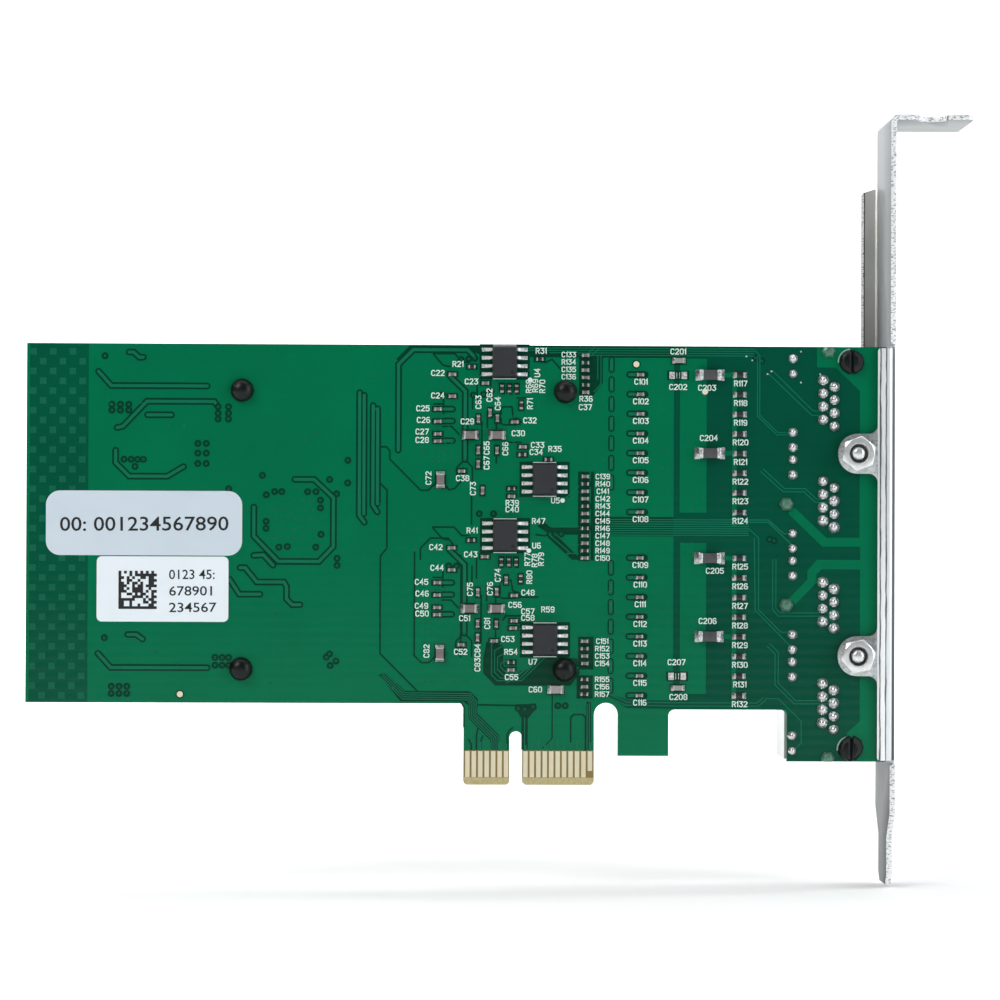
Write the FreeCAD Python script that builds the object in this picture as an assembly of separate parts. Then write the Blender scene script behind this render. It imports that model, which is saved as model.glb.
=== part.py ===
import FreeCAD, Part
import math
import os

# A plug-in network card: a green circuit board with a one-lane edge connector, a four-port jack
# behind a full-height bracket, two line-transformer blocks, a finned heatsink and its small parts.
# Millimetres. X runs along the board towards the bracket, +Y is the component side, Z is up.
# The origin is the middle of the key slot at the tip of the edge connector, on the board's mid-plane.

V = FreeCAD.Vector
OUT = "parts"

# Board
board_thickness = 1.57
board_left = -75.85
board_top = 68.15
board_end_gap = 0.6          # between the board's end and the bracket's inner face
left_edge_z = 12.6           # lower edge, left of the connector
port_edge_z = 3.75           # lower edge, behind the jack
recess_left = 23.65
recess_right = 42.05
recess_top = 11.75
recess_corner = 1.0
inner_corner = 0.5

# Edge connector
contact_pitch = 1.0
contact_width = 0.7
contact_thickness = 0.05
contact_low = 1.2
contact_high = 5.25
short_contact_low = 2.2
contacts_before_key = 7
contacts_after_key = 11
key_to_contact = 1.5         # key centre to the first contact on each side
tongue_margin = 0.6          # last contact's centre to the tongue's side
key_width = 2.0
key_top = 8.3
hook_slot_width = 3.7
hook_slot_top = 12.75
hook_bottom = 4.55
tongue_corner = 0.7
bevel_height = 1.15
bevel_depth = 0.4

# Bracket, folded from one sheet
sheet = 0.86
bend_inside = 0.4
bracket_outer_x = 58.85
bracket_near_y = -board_thickness / 2 - sheet
bracket_width = 18.42
bracket_height = 120.02
bracket_low = -15.65
ear_length = 12.1
ear_notch_width = 4.6
ear_notch_depth = 3.4
ear_notch_x = 5.75           # notch centre from the outer face
ear_corner = 0.8
taper_start_z = -4.2
tongue_width = 10.19
tongue_point = 1.5
flange_reach = 2.85          # near flange, from the outer face
far_flange_reach = 3.4
far_flange_end = 10.1        # below the bracket's top
far_flange_rise = 0.6        # lower end above the board's edge over the ports
far_flange_slant = 0.7       # both ends run back to the plate by this much
flange_overrun = 0.2         # near flange stops this far inside the board's edges
relief = 0.6                 # slit that frees each end of the near bend
tab_width = 6.2
tab_reach = 9.0              # tab tip from the outer face
tab_root = 1.4
tab_flat = 0.2               # straight left across the tab's rounded tip
flange_corner = 0.5
window_gap = 0.25            # bracket window around the jack's shield

# Four-port jack
port_count = 4
port_pitch = 15.7
jack_centre_z = 35.85
jack_inset = 0.25            # jack front behind the bracket's outer face
shield_sheet = 0.25
jack_end_wall = 0.35         # beyond the outer ports' share of the jack
lamp_leg_room = 1.25         # between the housing's rear and the shield
shield_height = 13.0         # above the board
shield_gap = 0.05
housing_depth = 15.3
port_width = 11.8
port_low = 2.6               # above the board
port_high = 9.4
port_depth = 12.3
latch_width = 6.4
latch_high = 10.8
latch_slot_width = 3.4
latch_slot_high = 11.6
well_width = 8.9
well_low = 1.25
well_rear_x = 46.9
well_inset = 2.0             # well front behind the jack's front
well_back = 0.7              # room behind the rear row of tails
wire = 0.35
wire_pitch = 1.02
wires_per_port = 8
tail_x = 47.6
tail_stagger = 1.75
wire_floor = 1.43            # wire centre line above the board
wire_tip_x = 50.4
wire_tip_y = 6.2
wire_front_inset = 2.7
carrier_gap = 0.1
peg_x = 52.1
peg_inset = 1.85             # peg centre from the jack's end
peg_radius = 1.6
peg_lip_radius = 1.92
peg_lip = 0.9
peg_slot = 0.6
peg_web = 0.4                # peg left whole under the board's component face
hole_gap = 0.1               # radial room of a pin in its board hole
led_inset = 2.12             # lamp centre inside the edge of its port's share
led_width = 2.8
led_height = 2.0
led_middle = 11.1            # above the board
led_length = 4.0
led_gap = 0.05
led_leg_setback = 0.4        # leg centre behind the housing's rear
led_leg_spacing = 2.34
led_leg = 0.4
shield_tab_width = 1.2
shield_tab_x = 48.45
shield_finger_width = 2.6
shield_finger_rise = 0.75
shield_finger_length = 5.5
shield_finger_root = 0.6     # behind the bracket's inner face
shield_finger_peak = 0.7     # share of the length
shield_finger_tip = 0.6      # share of the rise

# Studs and nuts that hold the bracket's tabs
stud_x = 52.9
stud_radius = 1.42
stud_gap = 0.03
stud_grip = 4.6              # stud length above the board
nut_across_flats = 4.8
nut_height = 2.2
nut_chamfer = 0.25
nut_turn = 12.0
stud_short = 0.35            # stud tip below the nut's face
stud_point = 0.4

# Line transformers
transformer_x = 26.85
transformer_first_z = 53.0
transformer_length = 27.4
transformer_spacing = 1.04                           # clear gap between the two cases
transformer_width = 13.0
transformer_height = 5.6
transformer_standoff = 0.15
transformer_edge = 0.5
lead_pitch = 1.016
leads_per_side = 24
lead_width = 0.4
lead_thickness = 0.25
lead_exit = 2.3
lead_shoulder = 0.55
lead_reach = 1.5             # lead tip from the case's side

# Heatsink and what clamps it
sink_hole_dx = 50.1
sink_hole_dz = 43.1
sink_x = -17.55
sink_z = 39.4
sink_margin = 3.5            # hole to the heatsink's edge
sink_base = 2.4
fin_height = 7.8
fin_thickness = 1.1
fin_count = 13
fin_taper = 0.25
corner_clear = 4.4           # half-size of the bare pad at each hole
pin_shaft_radius = 1.45
pin_head_radius = 2.9
pin_head = 1.1
pin_barb_radius = 1.8
pin_barb = 1.7
pin_barb_tip = 1.1
pin_slit = 0.6
spring_radius = 2.1
spring_wire = 0.45
spring_turns = 3
spring_facets = 6
spring_length = 3.6
pad_thickness = 0.35

# Chips under the heatsink
controller_x = -6.2
controller_first_z = 54.3
channel_pitch = 26.9
controller_size = 17.0
bridge_x = -34.5
bridge_z = 40.5
bridge_size = 15.0
substrate = 0.6
substrate_rim = 1.0          # bare edge round the moulded cap
chip_height = 2.0
pad_inset = 1.5              # thermal pad inside the chip's edge

# Eight-lead memory chips
soic_width = 3.85
soic_length = 4.85
soic_height = 1.55
soic_lead_pitch = 1.27
soic_leads_per_side = 4
soic_span = 6.1
soic_lead = 0.42
soic_lead_thickness = 0.2
soic_shoulder = 0.45

# Small round parts and their holes are drawn with this many flats
round_sides = 10

over = 1.0                   # how far a cutter runs past what it cuts

# Labels
label_thickness = 0.08
serial_label = (-57.65, 40.35, 30.3, 10.0, 2.2)      # centre x, z, width, height, corner
address_label = (-54.75, 30.15, 20.35, 10.1, 0.0)

# Solder joints on the solder face: six-sided cones round each tail, leg and shield tab
joint_sides = 6
tail_joint = (0.8, 0.4, 0.9)                         # foot radius, top radius, height
leg_joint = (0.72, 0.35, 0.75)
shield_joint = (1.2, 0.7, 0.8)

# Chip sizes: length, width, height
size_0402 = (1.0, 0.5, 0.4)
size_0603 = (1.6, 0.8, 0.55)
size_0805 = (2.0, 1.25, 0.8)
size_1206 = (3.4, 1.6, 1.1)

# Solder side, line circuits: one group of rows behind each transformer
line_rows = 8
line_row_pitch = 3.048
line_cap_x = 19.12
line_resistor_x = 34.58
surge_cap_x = 29.95
line_first_z = 63.69
surge_cap_drops = (0.0, 12.15)                       # below the group's first row
line_filter_x = 25.1
line_filter_z = (65.9, 15.1)

# Solder side, eight-lead memory chips
memory_places = ((-1.96, 65.56), (4.31, 47.37), (-1.79, 38.61), (4.46, 22.5))

# Solder side, around each controller, measured from its centre
bypass_offsets = ((-1.05, -0.1), (3.1, -0.1))
bypass_upright_offset = (-5.65, -7.05)
input_filter_place = (6.15, 14.8)

# Solder side, smallest chips: (x, z) from the corner mark of each controller's group
group_mark_x = -8.0
group_mark_first_z = 56.0
caps_flat = ((-2.05, 7.6), (-2.05, 4.2), (3.1, 6.25), (-4.28, 2.2), (-4.28, 0.28), (-4.28, -1.65),
             (-4.28, -2.75), (7.65, 0.26), (-0.56, -7.4), (7.2, -11.28))
caps_upright = ((2.0, 0.7), (4.95, 0.8), (2.0, -4.15), (2.0, -6.28), (4.9, -4.17))
resistors_flat = ((0.97, 8.8), (7.2, -10.1))
resistors_upright = ((5.65, 5.42), (6.8, 5.42), (7.92, 5.42), (8.65, 2.84))
upper_caps_flat = ((8.9, -3.6),)
upper_caps_upright = ((3.81, 1.67), (2.69, -10.4))
upper_resistors_flat = ((11.49, 10.02), (8.83, -4.81), (12.88, -5.55))
lower_caps_flat = ((7.64, -3.67), (7.53, -4.8), (4.57, -6.79))
lower_caps_upright = ((6.4, 2.65),)

# Solder side, one column of signal chips from the top down; C is a capacitor, R a resistor
signal_column_x = 10.6
signal_pitch = 1.15
signal_runs = ((66.65, "CRCCRC"), (47.85, "CRCCRCCRCCRC"), (22.31, "CRCC"), (16.4, "RCR"))

# Component side, beyond the heatsink
crystal_x = 14.9
crystal_zs = (50.6, 24.6)
crystal_size = (4.6, 11.2, 3.6)
crystal_corner = 1.4
crystal_base = 0.5
crystal_base_rim = 0.2
inductor_x = -57.5
inductor_zs = (56.5, 22.5)
inductor_size = 7.6
inductor_height = 4.2
inductor_corner = 1.4
inductor_core = 2.9
inductor_groove = 0.35
inductor_groove_depth = 0.4
regulator_x = -68.3
regulator_zs = (57.5, 23.5)
regulator_size = (3.5, 6.5, 1.6)
regulator_lead_pitch = 2.3
regulator_lead_width = 0.7
regulator_lead_thickness = 0.24
regulator_reach = 1.7
regulator_tab = 3.0
can_radius = 3.1
can_height = 5.6
can_base = 6.6
can_base_height = 0.7
can_places = ((-51.0, 48.5), (-51.0, 30.5), (-70.5, 47.0), (-70.5, 34.0))
tantalum_size = (7.2, 4.2, 2.8)
tantalum_places = ((-61.5, 48.2), (-61.5, 31.0), (-61.5, 64.4), (-61.5, 15.6))

# Worked out from the sizes above
solder_face = -board_thickness / 2
component_face = board_thickness / 2
bracket_inner_x = bracket_outer_x - sheet
board_right = bracket_inner_x - board_end_gap
bracket_far_y = bracket_near_y + bracket_width
bracket_top = bracket_low + bracket_height
far_flange_top = bracket_top - far_flange_end
far_flange_low = port_edge_z + far_flange_rise
jack_front_x = bracket_outer_x - jack_inset
housing_rear_x = jack_front_x - housing_depth
shield_rear_x = housing_rear_x - lamp_leg_room - shield_sheet
shield_half = port_count * port_pitch / 2 + jack_end_wall
led_offset = port_pitch / 2 - led_inset
led_leg_x = housing_rear_x - led_leg_setback
tongue_left = -key_to_contact - (contacts_before_key - 1) * contact_pitch - tongue_margin
tongue_right = key_to_contact + (contacts_after_key - 1) * contact_pitch + tongue_margin
hook_left = tongue_right + hook_slot_width
port_centres = [jack_centre_z + (1.5 - k) * port_pitch for k in range(port_count)]
stud_zs = [jack_centre_z + port_pitch, jack_centre_z - port_pitch]
peg_zs = [jack_centre_z + shield_half - peg_inset, jack_centre_z - shield_half + peg_inset]
sink_holes = [(sink_x + i * sink_hole_dx / 2, sink_z + k * sink_hole_dz / 2)
              for i in (-1, 1) for k in (-1, 1)]
transformer_pitch = transformer_length + transformer_spacing
transformer_zs = [transformer_first_z, transformer_first_z - transformer_pitch]
line_group_zs = [line_first_z, line_first_z - transformer_pitch]
controller_zs = [controller_first_z, controller_first_z - channel_pitch]
group_marks = [(group_mark_x, group_mark_first_z), (group_mark_x, group_mark_first_z - channel_pitch)]
sink_low = component_face + chip_height + pad_thickness
sink_seat = sink_low + sink_base


def on_xz(point, y=0.0):
    return V(point.x, y, point.y)


def on_yz(point, x=0.0):
    return V(x, point.x, point.y)


def on_xy(point, z=0.0):
    return V(point.x, point.y, z)


def outline(corners, place):
    """Flat face through corners (u, v, radius), each corner rounded to its radius."""
    joints = []
    for index, (u, v, radius) in enumerate(corners):
        corner = V(u, v, 0)
        following = corners[(index + 1) % len(corners)]
        before = V(corners[index - 1][0], corners[index - 1][1], 0) - corner
        after = V(following[0], following[1], 0) - corner
        before.normalize()
        after.normalize()
        if radius == 0:
            joints.append((corner, None, corner))
            continue
        half = before.getAngle(after) / 2
        reach = radius / math.tan(half)
        middle = before + after
        middle.normalize()
        inward = middle * (radius / math.sin(half) - radius)
        joints.append((corner + before * reach, corner + inward, corner + after * reach))
    edges = []
    for index, (start, middle, end) in enumerate(joints):
        if middle is not None:
            edges.append(Part.Arc(place(start), place(middle), place(end)).toShape())
        following = joints[(index + 1) % len(joints)][0]
        if end.distanceToPoint(following) > 1e-6:
            edges.append(Part.LineSegment(place(end), place(following)).toShape())
    return Part.Face(Part.Wire(edges))


def plate_xz(corners, y0, y1):
    face = outline(corners, lambda point: on_xz(point, y0))
    return face.extrude(V(0, y1 - y0, 0))


def plate_yz(corners, x0, x1):
    face = outline(corners, lambda point: on_yz(point, x0))
    return face.extrude(V(x1 - x0, 0, 0))


def plate_xy(corners, z0, z1):
    face = outline(corners, lambda point: on_xy(point, z0))
    return face.extrude(V(0, 0, z1 - z0))


def box(x0, x1, y0, y1, z0, z1):
    return Part.makeBox(x1 - x0, y1 - y0, z1 - z0, V(x0, y0, z0))


def block(x, z, size_x, size_z, y0, y1):
    return box(x - size_x / 2, x + size_x / 2, y0, y1, z - size_z / 2, z + size_z / 2)


def frustum(x, z, sides, start, end):
    """Solid with flat sides about the Y line through (x, z), between two (radius, y) ends."""
    rings = []
    for radius, y in (start, end):
        turns = [2 * math.pi * index / sides for index in range(sides)]
        rings.append([V(x + radius * math.cos(turn), y, z + radius * math.sin(turn)) for turn in turns])
    loops = list(rings)
    for index in range(sides):
        after = (index + 1) % sides
        loops.append([rings[0][index], rings[0][after], rings[1][after], rings[1][index]])
    return Part.Solid(Part.Shell([Part.Face(Part.makePolygon(loop + loop[:1])) for loop in loops]))


def faceted(profile, x, z):
    """Small round part in flats: (radius, y) stations about the Y line through (x, z)."""
    stages = []
    for start, end in zip(profile, profile[1:]):
        if start[1] != end[1]:
            stages.append(frustum(x, z, round_sides, start, end))
    return fused(stages) if len(stages) > 1 else stages[0]


def round_bar(x, z, radius, y0, y1):
    return frustum(x, z, round_sides, (radius, y0), (radius, y1))


def rounded_rectangle(x, z, size_x, size_z, radius):
    half_x = size_x / 2
    half_z = size_z / 2
    signs = ((-1, -1), (1, -1), (1, 1), (-1, 1))
    return [(x + i * half_x, z + k * half_z, radius) for i, k in signs]


def cut_rectangle(x, z, size_x, size_z, corner):
    """Rectangle with its corners cut off straight."""
    half_x = size_x / 2
    half_z = size_z / 2
    return [(x - half_x + corner, z - half_z, 0), (x + half_x - corner, z - half_z, 0),
            (x + half_x, z - half_z + corner, 0), (x + half_x, z + half_z - corner, 0),
            (x + half_x - corner, z + half_z, 0), (x - half_x + corner, z + half_z, 0),
            (x - half_x, z + half_z - corner, 0), (x - half_x, z - half_z + corner, 0)]


def strip_outline(points, thickness, from_wall):
    """Polygon around a flat path, with mitred bends; its start can lie flat on an upright wall."""
    left = []
    right = []
    last = len(points) - 1
    for index, point in enumerate(points):
        here = V(point[0], point[1], 0)
        back = here - V(*points[index - 1], 0) if index > 0 else None
        ahead = V(*points[index + 1], 0) - here if index < last else None
        for run in (back, ahead):
            if run is not None:
                run.normalize()
        run = (back or ahead) if back is None or ahead is None else back + ahead
        run.normalize()
        side = V(-run.y, run.x, 0)
        if from_wall and index == 0:
            side = V(0, math.copysign(1, run.x), 0)
        straight = ahead if ahead is not None else back
        normal = V(-straight.y, straight.x, 0)
        reach = thickness / 2 / side.dot(normal)
        left.append(here + side * reach)
        right.append(here - side * reach)
    return [(point.x, point.y, 0) for point in left + right[::-1]]


def bent_strip(points, thickness, z, width, from_wall=False):
    """Strip bent in the XY plane, of the given width along Z."""
    return plate_xy(strip_outline(points, thickness, from_wall), z - width / 2, z + width / 2)


def fused(shapes):
    body = shapes[0].multiFuse(shapes[1:])
    return body.removeSplitter()


def save(name, shapes):
    shape = shapes[0] if len(shapes) == 1 else Part.makeCompound(shapes)
    shape.exportStep(os.path.join(OUT, name + ".step"))


# ---------------------------------------------------------------- board

def board_outline():
    key = key_width / 2
    slot = hook_slot_width / 2
    return [
        (board_left, board_top, 0),
        (board_right, board_top, 0),
        (board_right, port_edge_z, 0),
        (recess_right, port_edge_z, 0),
        (recess_right, recess_top, recess_corner),
        (recess_left, recess_top, recess_corner),
        (recess_left, hook_bottom, 0),
        (hook_left, hook_bottom, 0),
        (hook_left, hook_slot_top, slot),
        (tongue_right, hook_slot_top, slot),
        (tongue_right, 0, tongue_corner),
        (key, 0, tongue_corner),
        (key, key_top, key),
        (-key, key_top, key),
        (-key, 0, tongue_corner),
        (tongue_left, 0, tongue_corner),
        (tongue_left, left_edge_z, inner_corner),
        (board_left, left_edge_z, 0),
    ]


def bevel_cutters():
    cutters = []
    for side in (-1, 1):
        face = side * board_thickness / 2
        clear = face + side * over
        section = [(face, bevel_height, 0), (face - side * bevel_depth, 0, 0), (face, -over, 0),
                   (clear, -over, 0), (clear, bevel_height, 0)]
        cutters.append(plate_yz(section, tongue_left - over, tongue_right + over))
    return cutters


def contact_tail_places():
    places = []
    for centre in port_centres:
        for index in range(wires_per_port):
            z = centre + ((wires_per_port - 1) / 2 - index) * wire_pitch
            places.append((tail_x + (index % 2) * tail_stagger, z))
    return places


def led_leg_places():
    places = []
    for centre in port_centres:
        for lamp in (-1, 1):
            for leg in (-1, 1):
                places.append((led_leg_x, centre + lamp * led_offset + leg * led_leg_spacing / 2))
    return places


def shield_tab_places():
    end = shield_half - shield_sheet / 2
    rear = shield_rear_x + shield_sheet / 2
    return [(shield_tab_x, jack_centre_z + end), (shield_tab_x, jack_centre_z - end),
            (rear, port_centres[1]), (rear, port_centres[2])]


def board_holes():
    low = solder_face - over
    high = component_face + over
    holes = [round_bar(x, z, pin_shaft_radius + hole_gap, low, high) for x, z in sink_holes]
    holes += [round_bar(stud_x, z, stud_radius + hole_gap, low, high) for z in stud_zs]
    holes += [round_bar(peg_x, z, peg_radius + hole_gap, low, high) for z in peg_zs]
    tail_hole = wire + 2 * hole_gap
    holes += [block(x, z, tail_hole, tail_hole, low, high) for x, z in contact_tail_places()]
    leg_hole = led_leg + 2 * hole_gap
    holes += [block(x, z, leg_hole, leg_hole, low, high) for x, z in led_leg_places()]
    wide = shield_tab_width + 2 * hole_gap
    narrow = shield_sheet + 2 * hole_gap
    holes += [block(x, z, wide, narrow, low, high) for x, z in shield_tab_places()[:2]]
    holes += [block(x, z, narrow, wide, low, high) for x, z in shield_tab_places()[2:]]
    return holes


def make_board():
    board = plate_xz(board_outline(), solder_face, component_face)
    return board.cut(Part.makeCompound(board_holes() + bevel_cutters()))


def make_contacts(side):
    inner = side * board_thickness / 2
    outer = inner + side * contact_thickness
    y0 = min(inner, outer)
    y1 = max(inner, outer)
    middle_z = (contact_low + contact_high) / 2
    full = contact_high - contact_low
    pads = []
    for index in range(contacts_before_key):
        x = -key_to_contact - index * contact_pitch
        pads.append(block(x, middle_z, contact_width, full, y0, y1))
    for index in range(contacts_after_key):
        x = key_to_contact + index * contact_pitch
        low = short_contact_low if index == contacts_after_key - 1 and side < 0 else contact_low
        pads.append(block(x, (low + contact_high) / 2, contact_width, contact_high - low, y0, y1))
    return pads


# ---------------------------------------------------------------- bracket

def bracket_side_section():
    """The sheet seen from the board's face: ear and plate, down to the tongue's end."""
    return [
        (bracket_outer_x + ear_length, bracket_top, 0),
        (bracket_inner_x, bracket_top, bend_inside + sheet),
        (bracket_inner_x, bracket_low, 0),
        (bracket_outer_x, bracket_low, 0),
        (bracket_outer_x, bracket_top - sheet, bend_inside),
        (bracket_outer_x + ear_length, bracket_top - sheet, 0),
    ]


def bracket_front_outline():
    """The sheet seen from outside the case: full width, then the narrow tongue."""
    low = bracket_low
    middle = (bracket_near_y + bracket_far_y) / 2
    step = (bracket_width - tongue_width) / 2
    near = middle - tongue_width / 2
    far = middle + tongue_width / 2
    return [
        (bracket_near_y, bracket_top + over, 0),
        (bracket_near_y, taper_start_z, 0),
        (near, taper_start_z - step, 0),
        (near, low + tongue_point, 0),
        (near + tongue_point, low, 0),
        (far - tongue_point, low, 0),
        (far, low + tongue_point, 0),
        (far, taper_start_z - step, 0),
        (bracket_far_y, taper_start_z, 0),
        (bracket_far_y, bracket_top + over, 0),
    ]


def ear_cutters():
    """Screw notch, and the trimmed corners of the ear."""
    low = bracket_top - sheet - over
    high = bracket_top + over
    notch_x = bracket_outer_x + ear_notch_x
    half = ear_notch_width / 2
    tip = bracket_outer_x + ear_length
    near = bracket_near_y
    far = bracket_far_y
    depth = near + ear_notch_depth
    notch = plate_xy([(notch_x - half, near - over, 0), (notch_x + half, near - over, 0),
                      (notch_x + half, depth, half), (notch_x - half, depth, half)], low, high)
    corners = []
    for y, side in ((near, 1), (far, -1)):
        clear = y - side * over
        corners.append(plate_xy([(tip + over, y, 0), (tip, y + side * ear_corner, 0),
                                 (tip - ear_corner, y, 0), (tip - ear_corner, clear, 0),
                                 (tip + over, clear, 0)], low, high))
    return [notch] + corners


def bend_section(near_y, direction):
    """Quarter bend between the plate and a flange that lies on the near_y plane."""
    outer = bend_inside + sheet
    start_x = bracket_outer_x - outer
    inner_y = near_y + direction * sheet
    plate_y = near_y + direction * outer
    return [(start_x, near_y, 0), (bracket_outer_x, near_y, outer), (bracket_outer_x, plate_y, 0),
            (bracket_inner_x, plate_y, 0), (bracket_inner_x, inner_y, bend_inside), (start_x, inner_y, 0)]


def near_flange():
    """Flange on the board's solder face, with the two tabs that the nuts hold."""
    edge_x = bracket_outer_x - flange_reach
    tip_x = bracket_outer_x - tab_reach
    start_x = bracket_outer_x - bend_inside - sheet
    low = port_edge_z + flange_overrun
    high = board_top - flange_overrun
    half = tab_width / 2
    tip_corner = (tab_width - tab_flat) / 2
    corners = [(start_x, low, 0), (edge_x, low, flange_corner)]
    for z in sorted(stud_zs):
        corners += [(edge_x, z - half, tab_root), (tip_x, z - half, tip_corner),
                    (tip_x, z + half, tip_corner), (edge_x, z + half, tab_root)]
    corners += [(edge_x, high, flange_corner), (start_x, high, 0)]
    flat = plate_xz(corners, bracket_near_y, bracket_near_y + sheet)
    bend = plate_xy(bend_section(bracket_near_y, 1), low, high)
    return fused([flat, bend])


def far_flange():
    edge_x = bracket_outer_x - far_flange_reach
    start_x = bracket_outer_x - bend_inside - sheet
    corners = [(start_x, far_flange_low, 0), (edge_x, far_flange_low + far_flange_slant, flange_corner),
               (edge_x, far_flange_top - far_flange_slant, flange_corner), (start_x, far_flange_top, 0)]
    flat = plate_xz(corners, bracket_far_y - sheet, bracket_far_y)
    bend = plate_xy(bend_section(bracket_far_y, -1), far_flange_low, far_flange_top)
    return fused([flat, bend])


def window_box():
    gap = window_gap
    return box(bracket_inner_x - over, bracket_outer_x + over,
               component_face - gap, component_face + shield_height + gap,
               jack_centre_z - shield_half - gap, jack_centre_z + shield_half + gap)


def make_bracket():
    side = plate_xz(bracket_side_section(), bracket_near_y, bracket_far_y)
    front = plate_yz(bracket_front_outline(), bracket_inner_x - over, bracket_outer_x + ear_length + over)
    plate = side.common(front)
    outer = bend_inside + sheet
    near_low = port_edge_z + flange_overrun - relief
    near_high = board_top - flange_overrun + relief
    near_room = box(bracket_inner_x - over, bracket_outer_x + over, bracket_near_y - over,
                    bracket_near_y + outer, near_low, near_high)
    far_room = box(bracket_inner_x - over, bracket_outer_x + over, bracket_far_y - outer,
                   bracket_far_y + over, far_flange_low, far_flange_top)
    plate = plate.cut(Part.makeCompound([near_room, far_room] + ear_cutters()))
    holes = [round_bar(stud_x, z, stud_radius + hole_gap, bracket_near_y - over, solder_face + over)
             for z in stud_zs]
    folded = fused([plate, near_flange(), far_flange()])
    return folded.cut(Part.makeCompound(holes + [window_box()]))


def make_stud(z):
    """Stud moulded into the jack between two ports, its thread end through board and tab."""
    tip = bracket_near_y - nut_height + stud_short
    root = component_face + stud_grip
    return faceted([(stud_radius - stud_point, tip), (stud_radius, tip + stud_point), (stud_radius, root)],
                   stud_x, z)


def make_nut(z):
    face = bracket_near_y - nut_height
    corner = nut_across_flats / 2 / math.cos(math.radians(30))
    points = []
    for index in range(6):
        angle = math.radians(60 * index + nut_turn)
        points.append((stud_x + corner * math.cos(angle), z + corner * math.sin(angle), 0))
    body = plate_xz(points, face, bracket_near_y)
    bore = stud_radius + stud_gap
    stations = [(bore + nut_chamfer, face), (bore, face + nut_chamfer), (bore, bracket_near_y)]
    hole = faceted(stations, stud_x, z)
    return body.cut(hole)


# ---------------------------------------------------------------- jack

def port_outline(centre):
    half = port_width / 2
    latch = latch_width / 2
    slot = latch_slot_width / 2
    base = component_face
    return [(base + port_low, centre - half, 0), (base + port_low, centre + half, 0),
            (base + port_high, centre + half, 0), (base + port_high, centre + latch, 0),
            (base + latch_high, centre + latch, 0), (base + latch_high, centre + slot, 0),
            (base + latch_slot_high, centre + slot, 0), (base + latch_slot_high, centre - slot, 0),
            (base + latch_high, centre - slot, 0), (base + latch_high, centre - latch, 0),
            (base + port_high, centre - latch, 0), (base + port_high, centre - half, 0)]


def port_cutters(centre):
    cavity = plate_yz(port_outline(centre), jack_front_x - port_depth, jack_front_x + over)
    left = centre - well_width / 2
    right = centre + well_width / 2
    floor = component_face + well_low
    well = box(well_rear_x, jack_front_x - well_inset, floor, component_face + port_low + over, left, right)
    tails = box(well_rear_x, tail_x + tail_stagger + well_back, solder_face, floor + over, left, right)
    lamps = []
    for lamp in (-1, 1):
        lamps.append(box(housing_rear_x - over, jack_front_x + over,
                         component_face + led_middle - led_height / 2 - led_gap,
                         component_face + led_middle + led_height / 2 + led_gap,
                         centre + lamp * led_offset - led_width / 2 - led_gap,
                         centre + lamp * led_offset + led_width / 2 + led_gap))
    return [cavity, well, tails] + lamps


def make_peg(z):
    lip = solder_face
    peg = faceted([(peg_radius, component_face), (peg_radius, lip), (peg_lip_radius, lip),
                   (peg_radius, lip - peg_lip)], peg_x, z)
    clear = peg_lip_radius + over
    slit = box(peg_x - peg_slot / 2, peg_x + peg_slot / 2, lip - peg_lip - over, component_face - peg_web,
               z - clear, z + clear)
    return peg.cut(slit)


def make_jack_housing():
    half = shield_half - shield_sheet - shield_gap
    top = component_face + shield_height - shield_sheet - shield_gap
    body = box(housing_rear_x, jack_front_x, component_face, top, jack_centre_z - half, jack_centre_z + half)
    cutters = []
    for centre in port_centres:
        cutters += port_cutters(centre)
    for z in stud_zs:
        cutters.append(round_bar(stud_x, z, stud_radius, component_face, component_face + stud_grip))
    return body.cut(Part.makeCompound(cutters)).fuse([make_peg(z) for z in peg_zs])


def make_shield():
    """Thin sheet cap over the housing, open at the front and towards the board."""
    low = jack_centre_z - shield_half
    high = jack_centre_z + shield_half
    top = component_face + shield_height
    cap = box(shield_rear_x, jack_front_x, component_face, top, low, high)
    room = box(shield_rear_x + shield_sheet, jack_front_x + over, component_face - over, top - shield_sheet,
               low + shield_sheet, high - shield_sheet)
    pieces = [cap.cut(room)]
    pieces += [block(x, z, shield_tab_width, shield_sheet, solder_face, component_face)
               for x, z in shield_tab_places()[:2]]
    pieces += [block(x, z, shield_sheet, shield_tab_width, solder_face, component_face)
               for x, z in shield_tab_places()[2:]]
    root_x = bracket_inner_x - shield_finger_length - shield_finger_root
    skin = top - shield_sheet / 2
    path = [(root_x, skin),
            (root_x + shield_finger_length * shield_finger_peak, skin + shield_finger_rise),
            (root_x + shield_finger_length, skin + shield_finger_rise * shield_finger_tip)]
    pieces += [bent_strip(path, shield_sheet, centre, shield_finger_width) for centre in port_centres]
    return fused(pieces)


def make_port_contacts():
    """Formed contact wires: tail through the board, along the well, then up and back into the port."""
    front = jack_front_x - wire_front_inset
    floor = component_face + wire_floor
    wires = []
    for x, z in contact_tail_places():
        path = [(x, solder_face), (x, floor), (front, floor), (wire_tip_x, component_face + wire_tip_y)]
        wires.append(bent_strip(path, wire, z, wire))
    return wires


def make_contact_carriers():
    """Bar that keeps each port's two rows of tails apart."""
    start = tail_x + wire / 2 + carrier_gap
    end = tail_x + tail_stagger - wire / 2 - carrier_gap
    top = component_face + wire_floor - wire / 2
    return [box(start, end, component_face, top, centre - well_width / 2, centre + well_width / 2)
            for centre in port_centres]


def make_leds(side):
    low = component_face + led_middle - led_height / 2
    return [block(jack_front_x - led_length / 2, centre + side * led_offset, led_length, led_width,
                  low, low + led_height) for centre in port_centres]


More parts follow.
